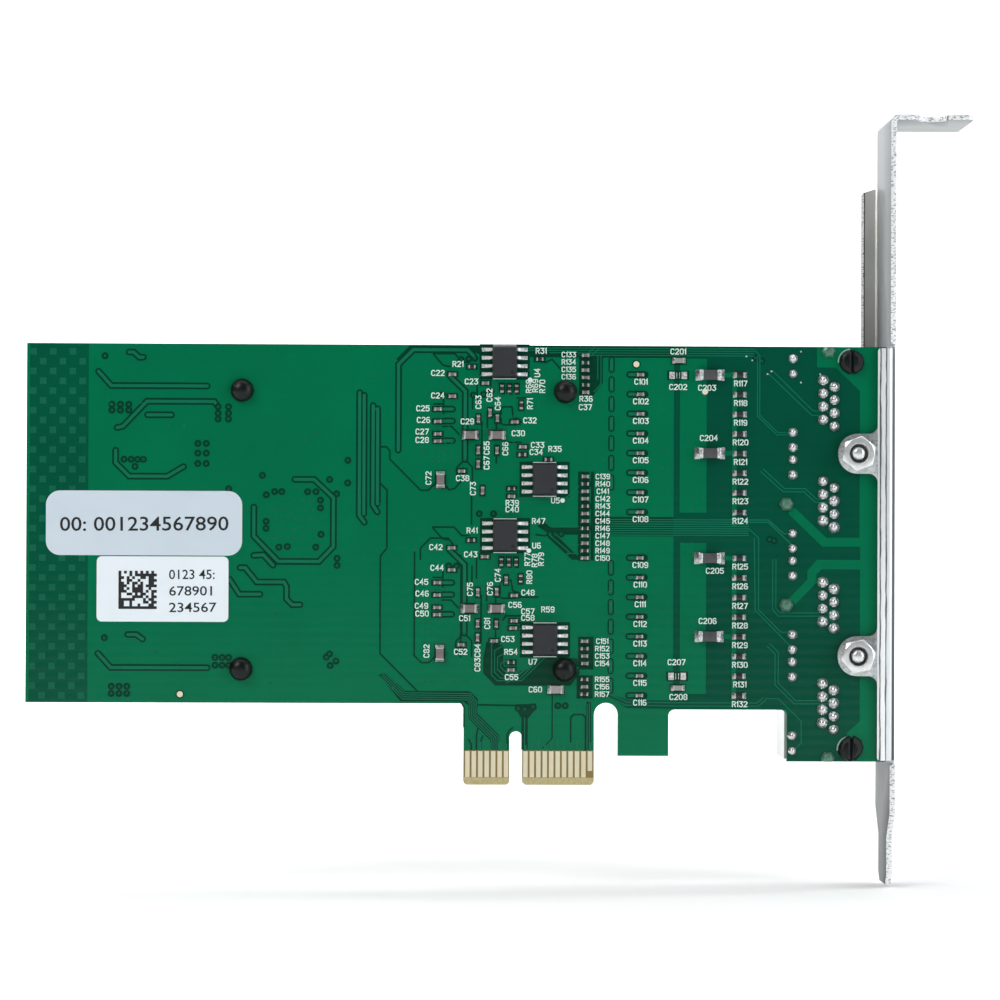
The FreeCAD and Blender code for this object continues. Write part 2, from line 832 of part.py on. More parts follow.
def make_led_legs():
    base = component_face + led_middle
    legs = []
    for x, z in led_leg_places():
        path = [(x, solder_face), (x, base), (jack_front_x - led_length, base)]
        legs.append(bent_strip(path, led_leg, z, led_leg))
    return legs


# ---------------------------------------------------------------- transformers

def make_transformer_case(z):
    low = component_face + transformer_standoff
    high = component_face + transformer_height
    edge = transformer_edge
    half = transformer_width / 2
    section = [(transformer_x - half, low, 0), (transformer_x + half, low, 0),
               (transformer_x + half, high - edge, 0), (transformer_x + half - edge, high, 0),
               (transformer_x - half + edge, high, 0), (transformer_x - half, high - edge, 0)]
    return plate_xy(section, z - transformer_length / 2, z + transformer_length / 2)


def make_transformer_leads(z):
    foot = component_face + lead_thickness / 2
    leads = []
    for side in (-1, 1):
        wall = transformer_x + side * transformer_width / 2
        path = [(wall, component_face + lead_exit), (wall + side * lead_shoulder, foot),
                (wall + side * lead_reach, foot)]
        for index in range(leads_per_side):
            place = z + (index - (leads_per_side - 1) / 2) * lead_pitch
            leads.append(bent_strip(path, lead_thickness, place, lead_width, True))
    return leads


# ---------------------------------------------------------------- heatsink

def make_heatsink():
    """Extruded comb of tapered fins, with a bare pad at each corner for the push pins."""
    width = sink_hole_dx + 2 * sink_margin
    length = sink_hole_dz + 2 * sink_margin
    left = sink_x - width / 2
    tip = sink_seat + fin_height
    pitch = (width - fin_thickness) / (fin_count - 1)
    section = [(left, sink_low, 0), (left + width, sink_low, 0)]
    for index in reversed(range(fin_count)):
        x = left + index * pitch
        if index < fin_count - 1:
            section.append((x + fin_thickness, sink_seat, 0))
        section += [(x + fin_thickness - fin_taper, tip, 0), (x + fin_taper, tip, 0)]
        if index > 0:
            section.append((x, sink_seat, 0))
    comb = plate_xy(section, sink_z - length / 2, sink_z + length / 2)
    cutters = []
    for x, z in sink_holes:
        cutters.append(block(x, z, 2 * corner_clear, 2 * corner_clear, sink_seat, tip + over))
        cutters.append(round_bar(x, z, pin_shaft_radius + hole_gap, sink_low - over, sink_seat + over))
    return comb.cut(Part.makeCompound(cutters))


def make_push_pin(x, z):
    """Nylon pin: head on the spring, shaft through heatsink and board, split barb behind the board."""
    seat = sink_seat + spring_length
    tip = solder_face - pin_barb
    stations = [(pin_head_radius, seat + pin_head), (pin_head_radius, seat), (pin_shaft_radius, seat),
                (pin_shaft_radius, solder_face), (pin_barb_radius, solder_face), (pin_barb_tip, tip)]
    pin = faceted(stations, x, z)
    clear = pin_barb_radius + over
    slit = box(x - pin_slit / 2, x + pin_slit / 2, tip - over, solder_face, z - clear, z + clear)
    return pin.cut(slit)


def make_spring(x, z):
    """Compression coil under the pin's head, in straight facets."""
    sections = []
    half = spring_wire / 2
    steps = spring_turns * spring_facets
    low = sink_seat + half
    rise = spring_length - spring_wire
    for step in range(steps + 1):
        angle = 2 * math.pi * step / spring_facets
        y = low + rise * step / steps
        corners = []
        for radius, height in ((-half, -half), (half, -half), (half, half), (-half, half)):
            reach = spring_radius + radius
            corners.append(V(x + reach * math.cos(angle), y + height, z + reach * math.sin(angle)))
        sections.append(Part.makePolygon(corners + corners[:1]))
    return Part.makeLoft(sections, True, True)


def make_chip(x, z, size):
    """Ball-grid package: thin substrate with a moulded cap."""
    cap = size - 2 * substrate_rim
    body = block(x, z, size, size, component_face, component_face + substrate)
    return body.fuse(block(x, z, cap, cap, component_face + substrate, component_face + chip_height))


def make_thermal_pad(x, z, size):
    side = size - 2 * pad_inset
    return block(x, z, side, side, component_face + chip_height, sink_low)


# ---------------------------------------------------------------- small parts

def memory_body(x, z):
    low = solder_face - soic_height
    return block(x, z, soic_width, soic_length, low, solder_face - soic_lead_thickness / 2)


def memory_leads(x, z):
    """Gull-wing leads on both sides, their feet on the solder face."""
    foot = solder_face - soic_lead_thickness / 2
    leads = []
    for hand in (-1, 1):
        wall = x + hand * soic_width / 2
        path = [(wall, solder_face - soic_height / 2), (wall + hand * soic_shoulder, foot),
                (x + hand * soic_span / 2, foot)]
        for index in range(soic_leads_per_side):
            place = z + (index - (soic_leads_per_side - 1) / 2) * soic_lead_pitch
            leads.append(bent_strip(path, soic_lead_thickness, place, soic_lead, True))
    return leads


def make_solder_joint(x, z, shape):
    foot, top, height = shape
    return frustum(x, z, joint_sides, (foot, solder_face), (top, solder_face - height))


def make_shield_joint(x, z):
    """Joint round a shield tab, stopped at the board's edge."""
    foot, top, height = shield_joint
    on_board = box(x - foot, x + foot, solder_face - height, solder_face, port_edge_z, board_top)
    return make_solder_joint(x, z, shield_joint).common(on_board)


def solder_chip(x, z, size, upright=False):
    """Chip on the solder face; its length lies along X, or along Z when upright."""
    length, width, height = size
    if upright:
        return block(x, z, width, length, solder_face - height, solder_face)
    return block(x, z, length, width, solder_face - height, solder_face)


def line_places(x):
    return [(x, first - row * line_row_pitch) for first in line_group_zs for row in range(line_rows)]


def controller_places(offset):
    return [(controller_x + offset[0], z + offset[1]) for z in controller_zs]


def make_bypass_caps():
    caps = [solder_chip(x, z, size_0805) for offset in bypass_offsets for x, z in controller_places(offset)]
    caps += [solder_chip(x, z, size_0805, True) for x, z in controller_places(bypass_upright_offset)]
    caps += [solder_chip(line_filter_x, z, size_0603) for z in line_filter_z]
    caps.append(solder_chip(*input_filter_place, size_0805))
    return caps


def make_label(label):
    x, z, width, height, corner = label
    face = rounded_rectangle(x, z, width, height, corner)
    return plate_xz(face, solder_face - label_thickness, solder_face)


def make_crystal(z):
    """Metal can with narrowed ends on a thin insulating base."""
    width, length, height = crystal_size
    seat = component_face + crystal_base
    rim = 2 * crystal_base_rim
    base = block(crystal_x, z, width + rim, length + rim, component_face, seat)
    can = plate_xz(cut_rectangle(crystal_x, z, width, length, crystal_corner), seat, component_face + height)
    return base, can


def make_inductor(z):
    """Ferrite block with cut corners and a round core in its top."""
    corners = cut_rectangle(inductor_x, z, inductor_size, inductor_size, inductor_corner)
    top = component_face + inductor_height
    floor = top - inductor_groove_depth
    body = plate_xz(corners, component_face, top)
    groove = round_bar(inductor_x, z, inductor_core + inductor_groove, floor, top)
    core = round_bar(inductor_x, z, inductor_core, floor, top)
    return body.cut(groove.cut(core))


def make_regulator(z):
    width, length, height = regulator_size
    body = block(regulator_x, z, width, length, component_face, component_face + height)
    top = component_face + regulator_lead_thickness
    half = regulator_lead_width / 2
    wall = regulator_x - width / 2
    leads = []
    for step in (-1, 0, 1):
        place = z + step * regulator_lead_pitch
        leads.append(box(wall - regulator_reach, wall, component_face, top, place - half, place + half))
    wall = regulator_x + width / 2
    leads.append(box(wall, wall + regulator_reach, component_face, top,
                     z - regulator_tab / 2, z + regulator_tab / 2))
    return body, leads


def make_capacitor_can(x, z):
    return round_bar(x, z, can_radius, component_face + can_base_height, component_face + can_height)


def make_capacitor_base(x, z):
    return block(x, z, can_base, can_base, component_face, component_face + can_base_height)


def group_chips(flat, upright, mark):
    chips = [solder_chip(mark[0] + dx, mark[1] + dz, size_0402) for dx, dz in flat]
    return chips + [solder_chip(mark[0] + dx, mark[1] + dz, size_0402, True) for dx, dz in upright]


def column_chips(kind):
    chips = []
    for first, run in signal_runs:
        for index, letter in enumerate(run):
            if letter == kind:
                chips.append(solder_chip(signal_column_x, first - index * signal_pitch, size_0402))
    return chips


def make_small_capacitors():
    upper, lower = group_marks
    chips = group_chips(caps_flat + upper_caps_flat, caps_upright + upper_caps_upright, upper)
    chips += group_chips(caps_flat + lower_caps_flat, caps_upright + lower_caps_upright, lower)
    return chips + column_chips("C")


def make_small_resistors():
    upper, lower = group_marks
    chips = group_chips(resistors_flat + upper_resistors_flat, resistors_upright, upper)
    chips += group_chips(resistors_flat, resistors_upright, lower)
    return chips + column_chips("R")


def save_small_parts():
    save("memory_chips", [memory_body(x, z) for x, z in memory_places])
    save("memory_leads", [lead for x, z in memory_places for lead in memory_leads(x, z)])
    save("centre_tap_capacitors", [solder_chip(x, z, size_0402) for x, z in line_places(line_cap_x)])
    save("line_resistors", [solder_chip(x, z, size_0603) for x, z in line_places(line_resistor_x)])
    save("surge_capacitors", [solder_chip(surge_cap_x, first - drop, size_1206)
                              for first in line_group_zs for drop in surge_cap_drops])
    save("bypass_capacitors", make_bypass_caps())
    save("small_capacitors", make_small_capacitors())
    save("small_resistors", make_small_resistors())
    save("contact_joints", [make_solder_joint(x, z, tail_joint) for x, z in contact_tail_places()])
    save("lamp_joints", [make_solder_joint(x, z, leg_joint) for x, z in led_leg_places()])
    save("shield_joints", [make_shield_joint(x, z) for x, z in shield_tab_places()])
    save("serial_label", [make_label(serial_label)])
    save("address_label", [make_label(address_label)])
    crystals = [make_crystal(z) for z in crystal_zs]
    save("crystal_bases", [base for base, can in crystals])
    save("crystal_cans", [can for base, can in crystals])
    save("power_inductors", [make_inductor(z) for z in inductor_zs])
    regulators = [make_regulator(z) for z in regulator_zs]
    save("voltage_regulators", [body for body, leads in regulators])
    save("regulator_leads", [lead for body, leads in regulators for lead in leads])
    save("capacitor_cans", [make_capacitor_can(x, z) for x, z in can_places])
    save("capacitor_bases", [make_capacitor_base(x, z) for x, z in can_places])
    length, width, height = tantalum_size
    save("tantalum_capacitors", [block(x, z, length, width, component_face, component_face + height)
                                 for x, z in tantalum_places])


def main():
    os.makedirs(OUT, exist_ok=True)
    save("circuit_board", [make_board()])
    save("edge_contacts_solder_side", make_contacts(-1))
    save("edge_contacts_component_side", make_contacts(1))
    save("bracket", [make_bracket()])
    save("bracket_studs", [make_stud(z) for z in stud_zs])
    save("bracket_nuts", [make_nut(z) for z in stud_zs])
    save("jack_housing", [make_jack_housing()])
    save("jack_shield", [make_shield()])
    save("port_contacts", make_port_contacts())
    save("contact_carriers", make_contact_carriers())
    save("link_lamps", make_leds(1))
    save("activity_lamps", make_leds(-1))
    save("lamp_legs", make_led_legs())
    for name, z in zip(("upper", "lower"), transformer_zs):
        save(name + "_transformer_case", [make_transformer_case(z)])
        save(name + "_transformer_leads", make_transformer_leads(z))
    save("heatsink", [make_heatsink()])
    save("push_pins", [make_push_pin(x, z) for x, z in sink_holes])
    save("push_pin_springs", [make_spring(x, z) for x, z in sink_holes])
    for name, z in zip(("upper", "lower"), controller_zs):
        save(name + "_network_controller", [make_chip(controller_x, z, controller_size)])
    save("bridge_chip", [make_chip(bridge_x, bridge_z, bridge_size)])
    pads = [make_thermal_pad(controller_x, z, controller_size) for z in controller_zs]
    save("thermal_pads", pads + [make_thermal_pad(bridge_x, bridge_z, bridge_size)])
    save_small_parts()


main()
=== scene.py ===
import math
import random

import bmesh
import bpy
from mathutils import Matrix, Vector


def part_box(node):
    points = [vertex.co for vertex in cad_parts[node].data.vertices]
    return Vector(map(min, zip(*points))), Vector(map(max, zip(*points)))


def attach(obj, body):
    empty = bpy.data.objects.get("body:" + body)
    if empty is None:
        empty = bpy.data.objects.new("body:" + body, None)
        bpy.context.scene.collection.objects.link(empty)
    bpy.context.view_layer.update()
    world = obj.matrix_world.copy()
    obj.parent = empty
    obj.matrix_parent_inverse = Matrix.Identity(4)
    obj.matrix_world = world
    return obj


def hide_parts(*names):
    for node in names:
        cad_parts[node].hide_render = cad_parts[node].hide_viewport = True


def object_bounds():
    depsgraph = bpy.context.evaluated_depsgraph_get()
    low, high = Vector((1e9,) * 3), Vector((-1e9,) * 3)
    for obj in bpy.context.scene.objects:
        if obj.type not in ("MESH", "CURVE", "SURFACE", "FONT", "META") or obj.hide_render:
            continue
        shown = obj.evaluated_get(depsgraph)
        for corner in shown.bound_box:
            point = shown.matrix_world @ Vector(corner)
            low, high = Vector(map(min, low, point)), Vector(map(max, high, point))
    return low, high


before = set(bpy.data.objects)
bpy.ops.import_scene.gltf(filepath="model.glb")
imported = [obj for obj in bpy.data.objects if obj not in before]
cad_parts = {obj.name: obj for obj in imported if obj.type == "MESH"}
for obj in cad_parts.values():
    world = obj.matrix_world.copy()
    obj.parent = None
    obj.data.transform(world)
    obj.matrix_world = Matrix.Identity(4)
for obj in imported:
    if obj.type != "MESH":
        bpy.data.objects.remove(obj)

cad_box = [list(corner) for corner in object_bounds()]

MM = 0.001          # every length below is in millimetres and is turned to metres where it is used
FRONT = -1          # solder side, which faces the camera
BACK = 1            # component side
HALF_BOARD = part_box("circuit_board")[1].y / MM

# Heights above a board face. Real copper stands 0.035 up under its resist.
CLEARANCE_TOP = 0.012
COPPER_TOP = 0.034
VIA_TOP = 0.05
PAD_TOP = 0.05
INK_TOP = 0.06
PAPER_TOP = 0.085
PRINT_TOP = 0.094
LAMINATE_TOP = 0.006
LIFT = 0.00015      # each shape of a layer lies this much above the one before


# ---------------------------------------------------------------- materials

def linear(code, alpha=1.0):
    """sRGB hex to the linear values that a shader socket takes."""
    channels = [int(code[start:start + 2], 16) / 255 for start in (1, 3, 5)]
    return [c / 12.92 if c <= 0.04045 else ((c + 0.055) / 1.055) ** 2.4 for c in channels] + [alpha]


def add(tree, kind, settings=None, values=None, links=None):
    """Adds a node: settings on itself, values on its inputs, links as input: (node, output)."""
    made = tree.nodes.new(kind)
    for key, value in (settings or {}).items():
        setattr(made, key, value)
    for key, value in (values or {}).items():
        made.inputs[key].default_value = value
    for key, (source, output) in (links or {}).items():
        tree.links.new(source.outputs[output], made.inputs[key])
    return made


def start_finish(name, roughness, metallic=0.0, settings=None):
    """A material with its shader, and object coordinates in metres."""
    material = bpy.data.materials.new(name)
    material.use_nodes = True
    tree = material.node_tree
    shader = tree.nodes["Principled BSDF"]
    values = {"Roughness": roughness, "Metallic": metallic}
    values.update(settings or {})
    for key, value in values.items():
        shader.inputs[key].default_value = value
    place = add(tree, "ShaderNodeTexCoord")
    return material, tree, shader, place


def finish(name, pale, deep, patch, roughness, grain, height, metallic=0.0, stretch=(1, 1, 1), settings=None):
    """Surface whose colour drifts over patches and whose grain stands up by height, all in millimetres."""
    material, tree, shader, place = start_finish(name, sum(roughness) / 2, metallic, settings)
    laid = add(tree, "ShaderNodeMapping", values={"Scale": stretch}, links={"Vector": (place, "Object")})
    drift = add(tree, "ShaderNodeTexNoise", values={"Scale": 1 / (patch * MM), "Detail": 3.0},
                links={"Vector": (laid, "Vector")})
    tint = add(tree, "ShaderNodeMix", {"data_type": "RGBA"}, {6: linear(deep), 7: linear(pale)},
               {0: (drift, "Fac")})
    tree.links.new(tint.outputs[2], shader.inputs["Base Color"])
    fine = add(tree, "ShaderNodeTexNoise", values={"Scale": 1 / (grain * MM), "Detail": 2.0},
               links={"Vector": (laid, "Vector")})
    gloss = add(tree, "ShaderNodeMapRange", values={"To Min": roughness[0], "To Max": roughness[1]},
                links={"Value": (fine, "Fac")})
    tree.links.new(gloss.outputs["Result"], shader.inputs["Roughness"])
    bump = add(tree, "ShaderNodeBump", values={"Distance": height * MM, "Strength": 1.0},
               links={"Height": (fine, "Fac")})
    tree.links.new(bump.outputs["Normal"], shader.inputs["Normal"])
    return material


WEAVE = 1.57                # yarns lie 0.5 apart; drawn three times as coarse, so that they show


def make_resist(name, pale, deep, weave_height):
    """Liquid resist on glass cloth: glossy, with the cloth's weave just showing."""
    material, tree, shader, place = start_finish(name, 0.17,
                                                 settings={"IOR": 1.5, "Specular IOR Level": 0.14})
    drift = add(tree, "ShaderNodeTexNoise", values={"Scale": 1 / (16 * MM), "Detail": 4.0},
                links={"Vector": (place, "Object")})
    tint = add(tree, "ShaderNodeMix", {"data_type": "RGBA"}, {6: linear(deep), 7: linear(pale)},
               {0: (drift, "Fac")})
    tree.links.new(tint.outputs[2], shader.inputs["Base Color"])
    # a wave texture of scale 1 repeats every tenth of pi
    warp, weft = [add(tree, "ShaderNodeTexWave", {"bands_direction": axis},
                      {"Scale": math.pi / 10 / (WEAVE * MM), "Distortion": 1.2, "Detail": 1.0},
                      {"Vector": (place, "Object")}) for axis in ("X", "Z")]
    cloth = add(tree, "ShaderNodeMath", {"operation": "ADD"}, links={0: (warp, "Fac"), 1: (weft, "Fac")})
    bump = add(tree, "ShaderNodeBump", values={"Distance": weave_height * MM, "Strength": 1.0},
               links={"Height": (cloth, "Value")})
    tree.links.new(bump.outputs["Normal"], shader.inputs["Normal"])
    return material


TONGUE_Z = -15              # height of the bracket's tongue
EAR_Z = 103                 # height of the bent ear's underside


def make_zinc(name, pale, deep):
    """Zinc-plated cold-rolled sheet: rolled streaks along it, small handling marks."""
    material, tree, shader, place = start_finish(name, 0.4, 0.85)
    long_way = add(tree, "ShaderNodeMapping", values={"Scale": (1, 1, 0.06)},
                   links={"Vector": (place, "Object")})
    streak = add(tree, "ShaderNodeTexNoise", values={"Scale": 1 / (0.35 * MM), "Detail": 4.0},
                 links={"Vector": (long_way, "Vector")})
    cloud = add(tree, "ShaderNodeTexNoise", values={"Scale": 1 / (9 * MM), "Detail": 3.0},
                links={"Vector": (place, "Object")})
    tint = add(tree, "ShaderNodeMix", {"data_type": "RGBA"}, {6: linear(deep), 7: linear(pale)},
               {0: (cloud, "Fac")})
    parts = add(tree, "ShaderNodeSeparateXYZ", links={"Vector": (place, "Object")})
    height = add(tree, "ShaderNodeMapRange", values={"From Min": TONGUE_Z * MM, "From Max": EAR_Z * MM},
                 links={"Value": (parts, "Z")})
    # the colour darkens towards the lower end; the ear stays bright
    low_end_tone = add(tree, "ShaderNodeValToRGB", links={"Fac": (height, "Result")})
    stops = low_end_tone.color_ramp.elements
    stops[0].color = linear("#939595")
    stops.new(0.85).color = linear("#d4d6d6")
    stops[2].color = linear("#ffffff")
    toned_by_height = add(tree, "ShaderNodeMix", {"data_type": "RGBA", "blend_type": "MULTIPLY"}, {0: 1.0},
               {6: (tint, 2), 7: (low_end_tone, "Color")})
    tree.links.new(toned_by_height.outputs[2], shader.inputs["Base Color"])
    gloss = add(tree, "ShaderNodeMapRange", values={"To Min": 0.34, "To Max": 0.46},
                links={"Value": (cloud, "Fac")})
    tree.links.new(gloss.outputs["Result"], shader.inputs["Roughness"])
    bump = add(tree, "ShaderNodeBump", values={"Distance": 0.012 * MM, "Strength": 1.0},
               links={"Height": (streak, "Fac")})
    tree.links.new(bump.outputs["Normal"], shader.inputs["Normal"])
    return material


def make_sheared():
    """Sheared edge of the sheet: torn grain that throws back light in flecks."""
    material, tree, shader, place = start_finish("sheared_zinc_edge", 0.4, 0.3)
    torn = add(tree, "ShaderNodeMapping", values={"Scale": (0.6, 1, 1.4)},
               links={"Vector": (place, "Object")})
    fleck = add(tree, "ShaderNodeTexNoise", values={"Scale": 1 / (0.28 * MM), "Detail": 3.0},
                links={"Vector": (torn, "Vector")})
    ramp = add(tree, "ShaderNodeValToRGB", links={"Fac": (fleck, "Fac")})
    for stop, share, grey in zip(ramp.color_ramp.elements, (0.36, 0.5), ("#878e90", "#ffffff")):
        stop.position = share
        stop.color = linear(grey)
    tree.links.new(ramp.outputs["Color"], shader.inputs["Base Color"])
    bump = add(tree, "ShaderNodeBump", values={"Distance": 0.08 * MM, "Strength": 1.0},
               links={"Height": (fleck, "Fac")})
    tree.links.new(bump.outputs["Normal"], shader.inputs["Normal"])
    return material


FLANGE_EDGE = 56.0          # X of the near flange's free edge
FLANGE_WIDTH = 2.85
FLANGE_FOLD = 58.2          # X where the near flange's bend turns away from the camera
# Share of the flange's width, and the grey there: bright bands along the bend are painted highlights, parted
# by dark lines of painted shade
FLANGE_PAINTED_BANDS = [(0.0, "#f0f2f2"), (0.10, "#f4f6f6"), (0.13, "#595f61"), (0.175, "#4d5355"),
                (0.20, "#f1f3f3"), (0.42, "#ffffff"), (0.445, "#62686a"), (0.485, "#5c6264"),
                (0.515, "#e4e8e9"), (0.80, "#f6f8f8"), (0.87, "#a7adaf"), (1.0, "#8f9698")]


def make_pressed():
    """Near flange's face: bright bands along the fold as painted highlights, parted by dark lines of painted
    shade.
    """
    material, tree, shader, place = start_finish("zinc_flange_painted_light_bands", 0.32, 0.3)
    drawn = add(tree, "ShaderNodeMapping", values={"Scale": (1, 1, 0.12)},
                links={"Vector": (place, "Object")})
    waver = add(tree, "ShaderNodeTexNoise", values={"Scale": 1 / (0.5 * MM), "Detail": 4.0},
                links={"Vector": (drawn, "Vector")})
    parts = add(tree, "ShaderNodeSeparateXYZ", links={"Vector": (place, "Object")})
    across = add(tree, "ShaderNodeMapRange", values={"From Min": FLANGE_EDGE * MM,
                                                     "From Max": (FLANGE_EDGE + FLANGE_WIDTH) * MM},
                 links={"Value": (parts, "X")})
    shift = add(tree, "ShaderNodeMapRange", values={"To Min": -0.07, "To Max": 0.07},
                links={"Value": (waver, "Fac")})
    spot = add(tree, "ShaderNodeMath", {"operation": "ADD"},
               links={0: (across, "Result"), 1: (shift, "Result")})
    # painted light: the ramp paints highlights and shade across the bend into the colour
    ramp = add(tree, "ShaderNodeValToRGB", links={"Fac": (spot, "Value")})
    stops = ramp.color_ramp.elements
    while len(stops) < len(FLANGE_PAINTED_BANDS):
        stops.new(0.5)
    for stop, (share, grey) in zip(stops, FLANGE_PAINTED_BANDS):
        stop.position = share
        stop.color = linear(grey)
    tree.links.new(ramp.outputs["Color"], shader.inputs["Base Color"])
    bump = add(tree, "ShaderNodeBump", values={"Distance": 0.02 * MM, "Strength": 1.0},
               links={"Height": (waver, "Fac")})
    tree.links.new(bump.outputs["Normal"], shader.inputs["Normal"])
    return material


def make_backdrop():
    """Matt white sweep that glows more and more towards the wall: painted light in place of a lamp behind it.
    """
    material, tree, shader, place = start_finish("white_sweep_painted_glow", 0.9)
    cloud = add(tree, "ShaderNodeTexNoise", values={"Scale": 1 / (120 * MM)},
                links={"Vector": (place, "Object")})
    tint = add(tree, "ShaderNodeMix", {"data_type": "RGBA"}, {6: linear("#f1f2f2"), 7: linear("#f6f7f7")},
               {0: (cloud, "Fac")})
    tree.links.new(tint.outputs[2], shader.inputs["Base Color"])
    parts = add(tree, "ShaderNodeSeparateXYZ", links={"Vector": (place, "Object")})
    # painted light: the sweep's own glow rises towards the wall
    glow = add(tree, "ShaderNodeMapRange",
               values={"From Min": 0.15, "From Max": 1.2, "To Min": 0.0, "To Max": 0.8},
               links={"Value": (parts, "Y")})
    shader.inputs["Emission Color"].default_value = linear("#ffffff")
    tree.links.new(glow.outputs["Result"], shader.inputs["Emission Strength"])
    return material


# Green resist takes its depth from what lies under it. Over solid copper it is bright,
# over bare laminate deep and dark, and over inner copper or prepreg somewhere between.
resist_on_copper = make_resist("green_resist_on_copper", "#01734c", "#016443", 0.004)
resist_on_laminate = make_resist("green_resist_on_laminate", "#04402c", "#033526", 0.008)
resist_right = make_resist("green_resist_over_inner_copper", "#02523c", "#014533", 0.008)
resist_left = make_resist("green_resist_over_prepreg", "#02593f", "#014b36", 0.006)
# Small copper shapes stand proud and thin the resist, so squares and tracks look paler
resist_square = make_resist("green_resist_on_square", "#17694f", "#105a43", 0.004)
resist_trace = make_resist("green_resist_on_track", "#157355", "#0f6449", 0.002)
# Silkscreen is matt white epoxy ink, with the green just tinting it
ink = finish("white_epoxy_ink", "#e2f4ec", "#cfe4da", 2.0, (0.5, 0.62), 0.2, 0.004)
# Hard gold over nickel: pale cream, satin from the nickel's grain
gold = finish("hard_gold_plating", "#f8efd4", "#ece2c0", 1.5, (0.36, 0.44), 0.15, 0.0004, 0.7)
# Glass-epoxy with no resist: golden brown and dull, paler where a grinder frayed the glass; the pale crescent
# on each peg hole's rim is a painted highlight
laminate = finish("bare_glass_epoxy", "#937d42", "#7b6731", 1.2, (0.45, 0.6), 0.25, 0.01)
ground_laminate = finish("ground_glass_epoxy", "#d2c597", "#a3925c", 0.35, (0.45, 0.6), 0.2, 0.02)
painted_rim_highlight = finish("peg_rim_highlight_paint", "#b9d9cd", "#7fb09c", 0.5, (0.4, 0.55), 0.2, 0.02)
# Flux-coated bare pads look cream; levelled tin on empty pads stays lumpy and bright
bare_pad = finish("coated_bare_pad", "#f3ebcf", "#e0d7b6", 0.6, (0.35, 0.5), 0.2, 0.004, 0.2)
levelled = finish("levelled_tin_pad", "#ffffff", "#9da1a3", 0.3, (0.2, 0.36), 0.3, 0.03, 0.5)
# Tin solder: frosted where it was reflowed, mirror bright where a wave left it, green under flux
solder = finish("reflowed_tin_solder", "#dfe1e2", "#8f9395", 0.5, (0.16, 0.36), 0.3, 0.02, 1.0)
pin_solder = finish("wave_solder_on_pins", "#fbfbfc", "#a8a9ab", 0.45, (0.16, 0.26), 0.3, 0.003, 0.9)
fluxed = finish("solder_under_green_flux", "#6c9683", "#3c6b58", 0.4, (0.22, 0.4), 0.3, 0.02, 0.35)
# Plated tin: satin grey on chip ends, almost white on stamped leads
chip_tin = finish("tin_plated_chip_end", "#dcdcdd", "#a9aaab", 0.5, (0.26, 0.44), 0.2, 0.01, 0.9)
tinned = finish("tin_plated_lead_frame", "#ffffff", "#e8eaea", 1.0, (0.3, 0.42), 0.2, 0.006, 0.7)
# Mould compound: near-black epoxy with silica, matt with a fine grain
epoxy = finish("black_mould_compound", "#26292d", "#1c1e22", 3.0, (0.48, 0.62), 0.12, 0.008)
# Fired ceramics: warm brown, slate grey or putty by their recipe, with a soft waxy shine
brown_ceramic = finish("barium_titanate_ceramic", "#857d7a", "#655d5a", 0.8, (0.35, 0.5), 0.15, 0.006)
grey_ceramic = finish("high_voltage_ceramic", "#545455", "#3b3b3c", 0.9, (0.35, 0.5), 0.15, 0.006)
pale_ceramic = finish("pale_glass_ceramic", "#a5a09e", "#8b8785", 0.9, (0.35, 0.5), 0.15, 0.006)
# Glass glaze over a resistor's film: black with a wet gloss
resistor_top = finish("black_resistor_glaze", "#2f3032", "#191a1b", 0.6, (0.25, 0.35), 0.15, 0.004)
# Zinc faces are bluish grey satin with rolled streaks; the far flange gets a warmer copy, made paler as
# painted light
zinc = make_zinc("zinc_plated_sheet", "#8d9395", "#757b7d")
far_flange_zinc_painted_light = make_zinc("zinc_sheet_warm_painted_light", "#ffffff", "#e3dfd8")
# The plate's outer face and the ear's top get a brighter copy of the zinc as painted light
outer_zinc_painted_light = make_zinc("zinc_outer_face_painted_light", "#cdd1d2", "#bbc0c1")
# Sheared edges glitter, the near flange carries painted highlight bands and painted shade lines, and the nut
# has scuffed the tab under it
sheared = make_sheared()
flange_painted_light = make_pressed()
tab_zinc = finish("zinc_rubbed_by_nut", "#f1f5f5", "#6f7678", 0.8, (0.22, 0.36), 0.45, 0.03, 0.7)
# Painted shadow: a dark dull line along the far flange, just inside its bright sheared edge
groove_shadow = finish("far_flange_painted_shadow", "#2d2f2f", "#1e2020", 1.0, (0.5, 0.6), 0.2, 0.004)
# Nickel on turned steel: white metal with soft bright highlights
nickel = finish("nickel_plated_steel", "#ffffff", "#cfd4d3", 0.9, (0.18, 0.3), 0.3, 0.004, 0.62)
# Root of a thread where it meets the nut: the same metal, greyer as painted shade
thread_painted_shade = finish("thread_root_painted_shade", "#5f6262", "#3e4141", 0.5, (0.35, 0.5), 0.2, 0.004, 0.5)
# Thin tin plate of the jack's shield: smooth, with a slow waver from the rolling mill
tin_sheet = finish("tin_plated_thin_sheet", "#cfd1d1", "#b4b7b8", 9.0, (0.26, 0.34), 1.6, 0.002, 1.0)
# Nylon is black, tinted green as a painted reflection of the board, with a soft sheen; the jack's polyester
# is greyer and matt
nylon = finish("black_nylon", "#06100f", "#030807", 2.0, (0.3, 0.42), 0.25, 0.006,
               settings={"Specular IOR Level": 0.3})
black_plastic = finish("black_moulded_polyester", "#191b1d", "#101214", 4.0, (0.42, 0.55), 0.2, 0.01)
# Extruded aluminium, anodised black: faint lines along the fins and a charcoal sheen
anodised = finish("black_anodised_aluminium", "#2a2b2e", "#1b1c1f", 5.0, (0.38, 0.5), 0.15, 0.006, 0.6,
                  stretch=(1, 1, 0.08))
# Deep-drawn aluminium and drawn spring wire: bright, with the draw's gentle waver
aluminium = finish("drawn_aluminium_can", "#d2d3d4", "#bcbebf", 3.0, (0.24, 0.32), 0.3, 0.001, 1.0)
wire = finish("drawn_spring_steel", "#b8b9ba", "#8f9091", 1.5, (0.2, 0.32), 0.2, 0.004, 1.0)
